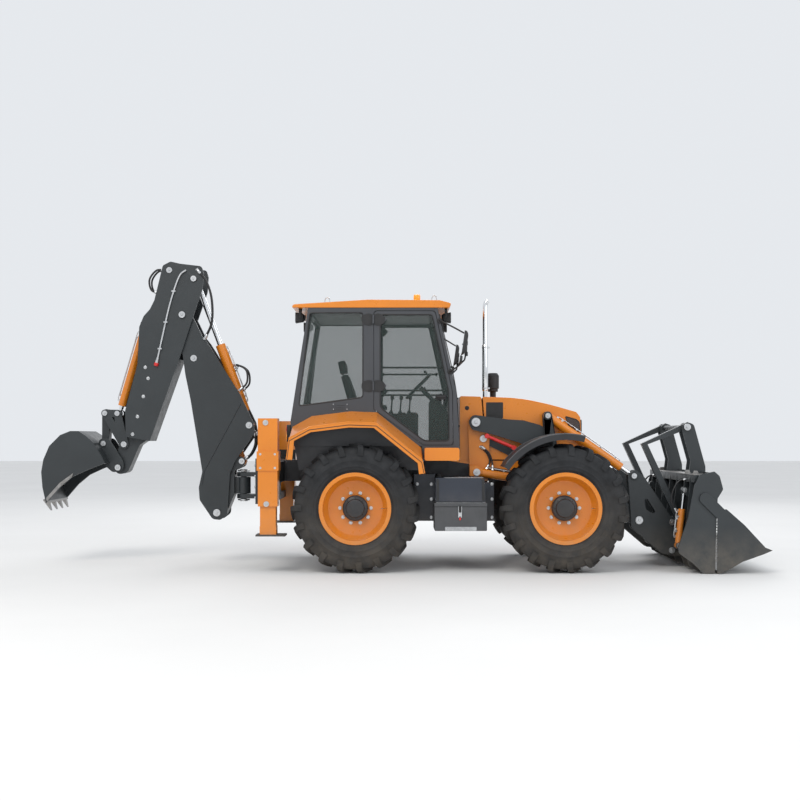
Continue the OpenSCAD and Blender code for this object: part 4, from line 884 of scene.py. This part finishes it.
cab_ends = bmesh.new()
for corner_z, half_y, face in (((1700, 2760), 620, rear_face), ((1930, 2760), 640, front_face),
                               ((1420, 1912), 640, front_face)):
    outline = soft_corners([(half_y, corner_z[0]), (half_y, corner_z[1]), (-half_y, corner_z[1]),
        (-half_y, corner_z[0])], 40)
    points = [at(face(z), y, z) for y, z in outline]
    piped(cab_ends, points + points[:1], 8, 8)
for root, tip in (((-40, 1950), (-360, 2330)), ((60, 1950), (380, 2330))):
    arm = [at(front_face(z) + lift, y, z) for (y, z), lift in ((root, 6),
        (((root[0] + tip[0]) / 2, 2140), 26), (tip, 16))]
    piped(cab_ends, smooth_path(arm, 6), 5, 8)
    turned(cab_ends, [(0, -4), (20, -4), (18, 16), (0, 20)], at(front_face(1950), *root), (1, 0, 0), 20)
    piped(cab_ends, [at(front_face(tip[1] - 240) + 10, tip[0], tip[1] - 240),
        at(front_face(tip[1] + 200) + 10, tip[0], tip[1] + 200)], 4, 8)
plastic("end_window_seals", "chassis", cab_ends)

tail = bmesh.new()
for y in (-670, 670):
    front_plate(tail, rounded(y - 52, y + 52, 1390, 1575, 14), rear_face(1480) - 22, rear_face(1480) + 18)
    for z, slot in ((1435, 1), (1530, 2)):
        turned(tail, [(0, 0), (38, 0), (38, 5), (30, 10), (0, 13)], at(rear_face(1480) - 21, y, z),
            (-1, 0, 0), 28, slot)
front_plate(tail, rounded(-260, 260, 1455, 1565, 10), rear_face(1510) - 14, rear_face(1510) + 4, 3)
finished("tail_lamps", "chassis", tail, [moulded_black, amber_lens, red_paint, white_plastic], 2)

pillar_cables = bmesh.new()
for shift in (0, 14):
    piped(pillar_cables, smooth_path([at(632 + shift * 0.3, 690 + shift, 1400),
        at(622 + shift * 0.3, 690 + shift, 1800), at(front_face(2100) + 12, 690 + shift, 2100),
        at(front_face(2500) + 12, 690 + shift, 2500), at(front_face(2780) + 9, 690 + shift, 2780)], 5),
        5, 8)
for z in (1560, 1860, 2200, 2600):
    block(pillar_cables, (front_face(z) - 4, 682, z - 10), (front_face(z) + 20, 712, z + 10))
both_sides(pillar_cables)
plastic("pillar_cables", "chassis", pillar_cables)

# Hood and cowl
HOOD_TOP = [(938, 1887), (1307, 1870), (1627, 1812), (1979, 1715), (2016, 1662)]
louvre = bmesh.new()
side_plate(louvre, rounded(962, 1154, 1648, 1830, 12), (HOOD_Y - 1), (HOOD_Y + 1))
for i in range(9):
    z = 1664 + i * 18
    side_plate(louvre, [(974, z), (1142, z), (1142, z + 6), (974, z + 6)], HOOD_Y, (HOOD_Y + 3))
both_sides(louvre)
plastic("hood_louvres", "hood", louvre, 0.5)

hood_lamps = bmesh.new()
lens = soft_corners([(1850, 1672), (1975, 1636), (2006, 1604), (2012, 1506), (1905, 1512)], 14)
for side in (-1, 1):
    side_plate(hood_lamps, lens, side * (HOOD_Y - 1), side * (HOOD_Y + 4), 1)
    piped(hood_lamps, [at(x, side * (HOOD_Y + 2), z) for x, z in lens + lens[:1]], 6, 8)
    low, high = sorted((side * 205, side * 322))
    front_plate(hood_lamps, rounded(low, high, 1492, 1632, 22), 2010, 2032, 1)
    piped(hood_lamps, [at(2031, y, z) for y, z in rounded(low, high, 1492, 1632, 22)
        + rounded(low, high, 1492, 1632, 22)[:1]], 5, 8)
front_plate(hood_lamps, rounded(-290, 290, 1222, 1456, 24), 2024, 2042)
for i in range(11):
    block(hood_lamps, (2040, -278, 1236 + i * 20), (2050, 278, 1244 + i * 20))
finished("hood_front", "hood", hood_lamps, [moulded_black, smoked_lens], 1.5)

seams = bmesh.new()
for side in (-1, 1):
    piped(seams, [at(975, side * (HOOD_Y - 2), 1560), at(1400, side * (HOOD_Y - 2), 1548),
        at(1985, side * (HOOD_Y - 2), 1460)], 5, 8)
    piped(seams, smooth_path([at(x + 4, side * (HOOD_Y - 62), z + 1) for x, z in HOOD_TOP[:4]], 6), 6, 8)
finished("hood_creases", "hood", seams, [orange_paint])
latches = bmesh.new()
turned(latches, [(0, -2), (24, -2), (24, 3), (20, 6), (0, 6)], at(750, HOOD_Y, 1766), ACROSS, 28)
side_plate(latches, rounded(744, 756, 1748, 1784, 5), (HOOD_Y + 4), (HOOD_Y + 12))
both_sides(latches)
plastic("cowl_latches", "chassis", latches, 1)

STACK_X, STACK_Y = 958, -250
stack = bmesh.new()
line = [(STACK_X, 1700), (STACK_X, 2600), (STACK_X, 2900)] + [(STACK_X + 90 + 90 * cos(radians(a)),
    2910 + 90 * sin(radians(a))) for a in range(174, 128, -6)]
rings = []
for radius, rows in ((27, line), (24, line[:2:-1])):
    for i, (x, z) in enumerate(rows):
        a = max(0.0, (z - 2910) / 90)
        lean = Vector((a, 0, sqrt(max(0, 1 - a * a))))
        across = Vector((lean.z, 0, -lean.x))
        rings.append(circle(at(x, STACK_Y, z), across, ACROSS, radius, 32))
loft(stack, rings)
turned(stack, [(30, 1960), (33, 1966), (33, 2474), (30, 2480), (27, 2480), (27, 1960), (30, 1960)],
    at(STACK_X, STACK_Y, 0))
for z in (1990, 2450):
    turned(stack, [(33, z - 9), (35, z - 9), (35, z + 9), (33, z + 9), (33, z - 9)],
        at(STACK_X, STACK_Y, 0), slot=2)
    block(stack, (STACK_X + 32, STACK_Y - 6, z - 9), (STACK_X + 52, STACK_Y + 6, z + 9), 2)
turned(stack, [(0, 1641), (60, 1641), (60, 1690), (48, 1704), (0, 1706)], at(1010, STACK_Y, 0), slot=1)
turned(stack, [(27, 1700), (34, 1700), (34, 1728), (27, 1728), (27, 1700)], at(STACK_X, STACK_Y, 0),
    slot=2)
block(stack, (940, STACK_Y - 20, 1660), (1010, STACK_Y + 20, 1705), 1)
made = finished("exhaust_stack", "chassis", stack, [chrome_plate, heat_dark, zinc_plate], 1)
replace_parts(made, "exhaust")

# Fender edges
WING_REACH, WING_TILT = 1150, tan(radians(17))
WING_TOP = [(-1194, 1325), (-1163, 1553), (-955, 1667), (-540, 1719), (-249, 1708), (229, 1325),
            (259, 1179)]
wing_edges = bmesh.new()
drop = (WING_REACH - 14 - CAB_Y) * WING_TILT
for down, radius, out, slot in ((2, 7, -3, 0), (34, 4, 0, 1)):
    piped(wing_edges, [at(x, WING_REACH + out, z - drop - down) for x, z in WING_TOP], radius, 8, slot)
both_sides(wing_edges)
finished("wing_edges", "chassis", wing_edges, [orange_paint, moulded_black])
for side, name in SIDES:
    rim = bmesh.new()
    arc = [(FRONT_AXLE_X + 789 * cos(radians(a)), TYRE_R + 789 * sin(radians(a)))
        for a in range(75, 147, 4)]
    for y in (704, 1156):
        piped(rim, [at(x, side * y, z) for x, z in arc], 7, 8)
    for angle in (96, 122):
        a = radians(angle)
        x, z = FRONT_AXLE_X + 774 * cos(a), TYRE_R + 774 * sin(a)
        piped(rim, [at(x, side * 712, z), at(x, side * 1120, z)], 9, 8)
    finished("fender_edges_" + name, "knuckle_" + name, rim, [trim_grey], slot_name="black")

# Tank, tool chest and steps
def tread(plate_bm, x0, x1, y0, y1, z, studs):
    """A tread plate and the places of its raised studs."""
    top_plate(plate_bm, rounded(x0, x1, y0, y1, 12), z, z + 4)
    across, along = int((y1 - y0 - 30) / 34), int((x1 - x0 - 30) / 34)
    for i in range(along + 1):
        for k in range(across + 1):
            if (i + k) % 2 == 0:
                studs.append(at(x0 + 15 + i * (x1 - x0 - 30) / along,
                    y0 + 15 + k * (y1 - y0 - 30) / across, z + 3))


steps, step_studs = bmesh.new(), []
for side in (-1, 1):
    for x0, x1, y0, y1, z in ((470, 890, 780, 1012, 1005), (380, 910, 850, 1032, 741.2)):
        low, high = sorted((side * y0, side * y1))
        tread(steps, x0, x1, low, high, z, step_studs)
    side_plate(steps, rounded(477, 812, 446, 488, 8), side * 1034, side * 1043)
finished("step_plates", "chassis", steps, [tread_plate], 1)
bump = bmesh.new()
turned(bump, [(0, 0), (11, 0), (7, 3), (0, 3.4)], sides=8)
finished("step_studs", "chassis", joined([at_spots(step_studs, bump, tread_plate)]), [tread_plate])

chest = bmesh.new()
for z0, z1, out in ((706, 740, 5), (697, 702, 1)):
    side_plate(chest, rounded(369 - out, 920 + out, z0, z1, 2), 1030, (1040 + out), 0 if out > 1 else 1)
side_plate(chest, rounded(616, 656, 585, 706, 8), 1036, 1049, 2)
side_plate(chest, rounded(622, 650, 640, 712, 10), 1046, 1058, 1)
side_plate(chest, rounded(627, 645, 560, 600, 4), 1044, 1049, 3)
turned(chest, [(0, 0), (52, 0), (52, 14), (46, 20), (30, 22), (28, 34), (0, 36)], at(425, 560, 1004),
    slot=1)
for x in (400, 885):
    side_plate(chest, rounded(x - 14, x + 14, 765, 995, 6), 1016, 1026, 1)
both_sides(chest)
finished("chest_fittings", "chassis", chest, [trim_grey, moulded_black, zinc_plate, red_paint], 1.5,
    slot_name="black")

# Loader fittings
def along(p, q, distance, off):
    """A point that lies a distance from p towards q, and off the line by off."""
    u = Vector((q[0] - p[0], q[1] - p[1])).normalized()
    return (p[0] + u.x * distance - u.y * off, p[1] + u.y * distance + u.x * off)


RAM_Y = 426
LIFT_PIN, LIFT_EYE = (848, 1052), (1851, 891)
RAM_TOP, RAM_FOOT = (1634, 1676), (2587, 1011)
strut = bmesh.new()
for side in (-1, 1):
    ends = [(963, 1452), (1262, 1322)]
    piped(strut, [at(x, side * 462, z) for x, z in ends], 19, 16)
    for (x, z), toward in zip(ends, (-1, 1)):
        turned(strut, [(0, -22), (27, -22), (27, 22), (0, 22)], at(x, side * 464, z), (0, 1, 0), 20)
        piped(strut, [at(x, side * 450, z), at(x, side * 480, z)], 9, 12, 1)
finished("safety_struts", "arms", strut, [red_paint, zinc_plate], 1)


# Steel lines on a ram: its body, the barrel's pin, the rod's pin, |y|, the barrel's radius, first and
# last port, half the distance between the lines, and the side of the ram where they lie
RAM_LINES = [
    ("tilt_barrels", RAM_TOP, RAM_FOOT, RAM_Y, 48, 110, 940, 12, 1),
    ("lift_barrels", LIFT_PIN, LIFT_EYE, RAM_Y, 48, 110, 740, 12, 1),
    ("boom_barrel", (-1801, 1166), (-2340, 2335), 0, 48, 120, 1090, 14, -1),
    ("dipper_barrel", (-1712, 1575), (-2336, 3233), 0, 57, 280, 930, 14, -1),
    ("curl_barrel", (-2909, 2743), (-3214, 1709), 0, 46, 120, 930, 14, -1),
    ("clam_barrels", (2995, 274), (3060, 870), 828, 36, 90, 370, 12, 1)]
for body, p, q, y, radius, first, last, apart, way in RAM_LINES:
    lines = bmesh.new()
    for y_line, shift in ((y - apart, 0), (y + apart, 60)):
        start, end = first + shift, last - shift
        rows = ((start, radius + 12), (start + 16, radius + 18), (end - 16, radius + 18),
            (end, radius + 12))
        places = [along(p, q, distance, way * off) for distance, off in rows]
        piped(lines, [at(x, y_line, z) for x, z in places], 6, 8)
        for port in (start, end):
            x, z = along(p, q, port, way * (radius - 8))
            out = Vector(along(p, q, port, way * (radius + 10))) - Vector((x, z))
            turned(lines, [(0, 0), (14, 0), (14, 20), (10, 24), (0, 24)], at(x, y_line, z),
                (out.x, 0, out.y), 6)
    if way > 0:
        axis = Vector((q[0] - p[0], q[1] - p[1])).normalized()
        for share in (0.3, 0.7):
            x, z = along(p, q, first + (last - first) * share, radius + 6)
            turned(lines, [(0, -9), (20, -9), (20, 9), (0, 9)], at(x, y, z), (axis.x, 0, axis.y), 8)
        both_sides(lines)
    finished(body + "_lines", body, lines, [zinc_plate])

jaw_edges = bmesh.new()
for i in range(15):
    z = 128 + i * 29
    x = 3313 + z * 0.012
    side_plate(jaw_edges, [(x - 8, z), (x + 15, z + 10), (x + 15, z + 17), (x - 8, z + 27)], 1129, 1147)
both_sides(jaw_edges)
finished("blade_teeth", "bucket", jaw_edges, [worn_steel], 1)
lip_bolts = bmesh.new()
turned(lip_bolts, [(0, -4), (20, -4), (20, 3), (16, 7), (0, 8)], sides=24)
turned(lip_bolts, [(0, 7), (8, 7), (8, 9), (0, 9)], sides=6)
finished("lip_bolts", "clam", joined([at_spots([at(3800, y, 247) for y in range(-1050, 1051, 210)],
    lip_bolts, worn_steel, (0, -15, 0))]), [worn_steel])
beam_edge = bmesh.new()
block(beam_edge, (3098, -1100, 1038), (3302, 1100, 1044))
for y in (-1000, -640, 640, 1000):
    side_plate(beam_edge, [(3110, 1042), (3180, 1042), (3160, 1082), (3125, 1082)], y - 6, y + 6)
finished("beam_top", "bucket", beam_edge, [worn_steel], 1.5)

# Backhoe fittings
crease = bmesh.new()
for side in (-1, 1):
    piped(crease, [at(-1807, side * 150, 1820), at(-2222, side * 150, 1051)], 6, 8)
    piped(crease, [at(-2222, side * 150, 1051), at(-2246, side * 150, 900)], 6, 8)
finished("boom_creases", "boom", crease, [graphite_paint])
slew_caps = bmesh.new()
for z, way in ((1040, 1), (740, -1)):
    turned(slew_caps, [(0, -2), (70, -2), (70, 10), (64, 14), (44, 14), (44, 22), (0, 24)],
        at(-1790, 0, z + way * 10), (0, 0, way), 32)
finished("slew_pin_caps", "kingpost", slew_caps, [zinc_plate], 1)
spots = [at(-1621, y, z) for y in (-280, -190, 190, 280) for z in (760, 880, 1000, 1120)]
finished("carriage_bolts", "carriage", joined([at_spots(spots, bolt_form(15, 12, 24), zinc_plate,
    (0, -90, 0))]), [zinc_plate])
side_cutters = bmesh.new()
side_plate(side_cutters, [(-3932, 722), (-3788, 886), (-3654, 998), (-3640, 1040), (-3790, 930),
    (-3944, 760)], 389, 400)
both_sides(side_cutters)
finished("side_cutters", "dig_bucket", side_cutters, [worn_steel], 1.5)
side_caps("cutter_bolts", "dig_bucket", [(-3875, 399, 818), (-3775, 399, 918), (-3680, 399, 997)],
    lambda: bolt_form(11, 8), worn_steel)


# Hoses
def hose(name, bodies, points, size):
    """A hose through points in millimetres, with a crimped fitting at each end."""
    path = smooth_path([at(*p) for p in points], 8)
    tube, ends = bmesh.new(), bmesh.new()
    piped(tube, path, size / 2, 12)
    for a, b in ((path[0], path[2]), (path[-1], path[-3])):
        way = (b - a).normalized()
        turned(ends, [(0, -6), (size * 0.5, -6), (size * 0.72, 2), (size * 0.72, size * 1.7),
            (size * 0.52, size * 2.1), (0, size * 2.1)], a, way, 12)
        turned(ends, [(0, -16), (size * 0.78, -16), (size * 0.78, -4), (0, -4)], a, way, 6)
    first = bodies if isinstance(bodies, str) else None
    made = finished(name, first, tube, [hose_rubber])
    fitted = finished(name + "_ends", first, ends, [zinc_plate])
    if not first:
        for piece in (made, fitted):
            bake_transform(piece)


for side, word in SIDES:
    for i, y in enumerate((382, 398)):
        hose(f"lift_hose_{word}_{i + 1}", ("chassis", "lift_barrels"),
            [(900 + i * 16, side * y, 1330), (968 + i * 22, side * (y + 4), 1262),
            (1000 + i * 22, side * (y + 14), 1170), (968 + i * 60, side * (RAM_Y - 12 + i * 24),
            1098 - i * 10)], 20)
    hose("jaw_hose_" + word, ("bucket", "clam_barrels"), [(3098, side * 790, 985),
        (3010, side * 796, 960), (2948, side * 806, 860), (2930, side * 816, 740),
        (2978, side * 826, 640)], 18)
for i, y in enumerate((-196, -172)):
    hose(f"elbow_hose_{i + 1}", ("boom", "dipper"), [(-2210, y + 30, 2560), (-2130, y, 2740),
        (-2130, y - 4, 3000), (-2190, y, 3200), (-2290, y + 6, 3330)], 24)
for i, y in enumerate((-60, 60)):
    hose(f"dipper_ram_hose_{i + 1}", ("boom", "dipper_barrel"),
        [(-1822, y * 2.1, 1975), (-1742, y * 1.9, 2060), (-1752, y * 1.4, 2200), (-1850, y * 0.9, 2262),
        (-1908 + i * 19, y * 0.25, 2262 - i * 53)], 22)
    hose(f"swing_hose_{i + 1}", ("kingpost", "boom"), [(-1772, y * 1.1, 1190), (-1700, y * 1.1, 1250),
        (-1650, y * 1.3, 1370), (-1655, y * 1.9, 1500)], 24)
    hose(f"curl_hose_{i + 1}", "dipper", [(-2684, y * 0.7, 3345), (-2780, y * 0.9, 3345),
        (-2858, y * 1.1, 3240), (-2838, y * 1.2, 3120), (-2758, y * 1.1, 3085)], 22)

auxiliary, line_y = bmesh.new(), -196
line_end, line_way = at(-2738, line_y, 2338), (-0.25, 0, -1)
piped(auxiliary, smooth_path([at(-2420, line_y, 3330), at(-2500, line_y, 3250), at(-2600, line_y, 2950),
    at(-2690, line_y, 2560), at(-2740, line_y, 2330)], 6), 10, 10)
for x, z in ((-2560, 3090), (-2650, 2740), (-2715, 2440)):
    block(auxiliary, (x - 22, line_y - 12, z - 8), (x + 22, -181, z + 8))
turned(auxiliary, [(0, 0), (16, 0), (16, 26), (20, 30), (20, 62), (0, 64)], line_end, line_way, 16)
turned(auxiliary, [(0, 60), (25, 60), (25, 88), (20, 96), (0, 98)], line_end, line_way, 20, 1)
finished("auxiliary_line", "dipper", auxiliary, [zinc_plate, red_paint])

# Floor, light and camera
floor_mesh = bpy.data.meshes.new("floor")
floor_mesh.from_pydata([(-60, -60, 0), (60, -60, 0), (60, 60, 0), (-60, 60, 0)], [], [(0, 1, 2, 3)])
floor_mesh.materials.append(surface("pale_floor", (0.80, 0.795, 0.785), (0.7, 0.85), patch=(0.4, 0.02),
    grain=None))
placed("floor", floor_mesh)

world = bpy.data.worlds.new("studio")
world.use_nodes = True
world.node_tree.nodes["Background"].inputs["Color"].default_value = (0.93, 0.96, 1.0, 1)
world.node_tree.nodes["Background"].inputs["Strength"].default_value = 0.85
scene.world = world
scene.view_settings.view_transform = "Standard"


def area_light(name, place, target, size, power, colour):
    data = bpy.data.lights.new(name, "AREA")
    data.size, data.energy, data.color = size, power, colour
    lamp = placed(name, data)
    lamp.location = place
    lamp.rotation_euler = (Vector(target) - Vector(place)).to_track_quat("-Z", "Y").to_euler()


area_light("key", (-5, -11, 12), (0, 0, 1.2), 6, 900, (1, 0.97, 0.92))
area_light("fill", (9, -8, 6), (0, 0, 1.2), 6, 240, (0.92, 0.96, 1))
area_light("back", (2, 11, 9), (0, 0, 1.5), 7, 420, (1, 1, 1))

FOCAL_PX, PHOTO_PX, SHIFT_PX = 1190, 800, 38
CAMERA_AWAY, CAMERA_HIGH = 13.65, 1.43
camera_data = bpy.data.cameras.new("camera")
camera_data.sensor_width = 36
camera_data.lens = FOCAL_PX / PHOTO_PX * camera_data.sensor_width
camera_data.shift_y = SHIFT_PX / PHOTO_PX
camera = placed("camera", camera_data)
camera.location = (FRAME_X / 1000, -CAMERA_AWAY, CAMERA_HIGH)
camera.rotation_euler = (radians(90), 0, 0)
scene.camera = camera
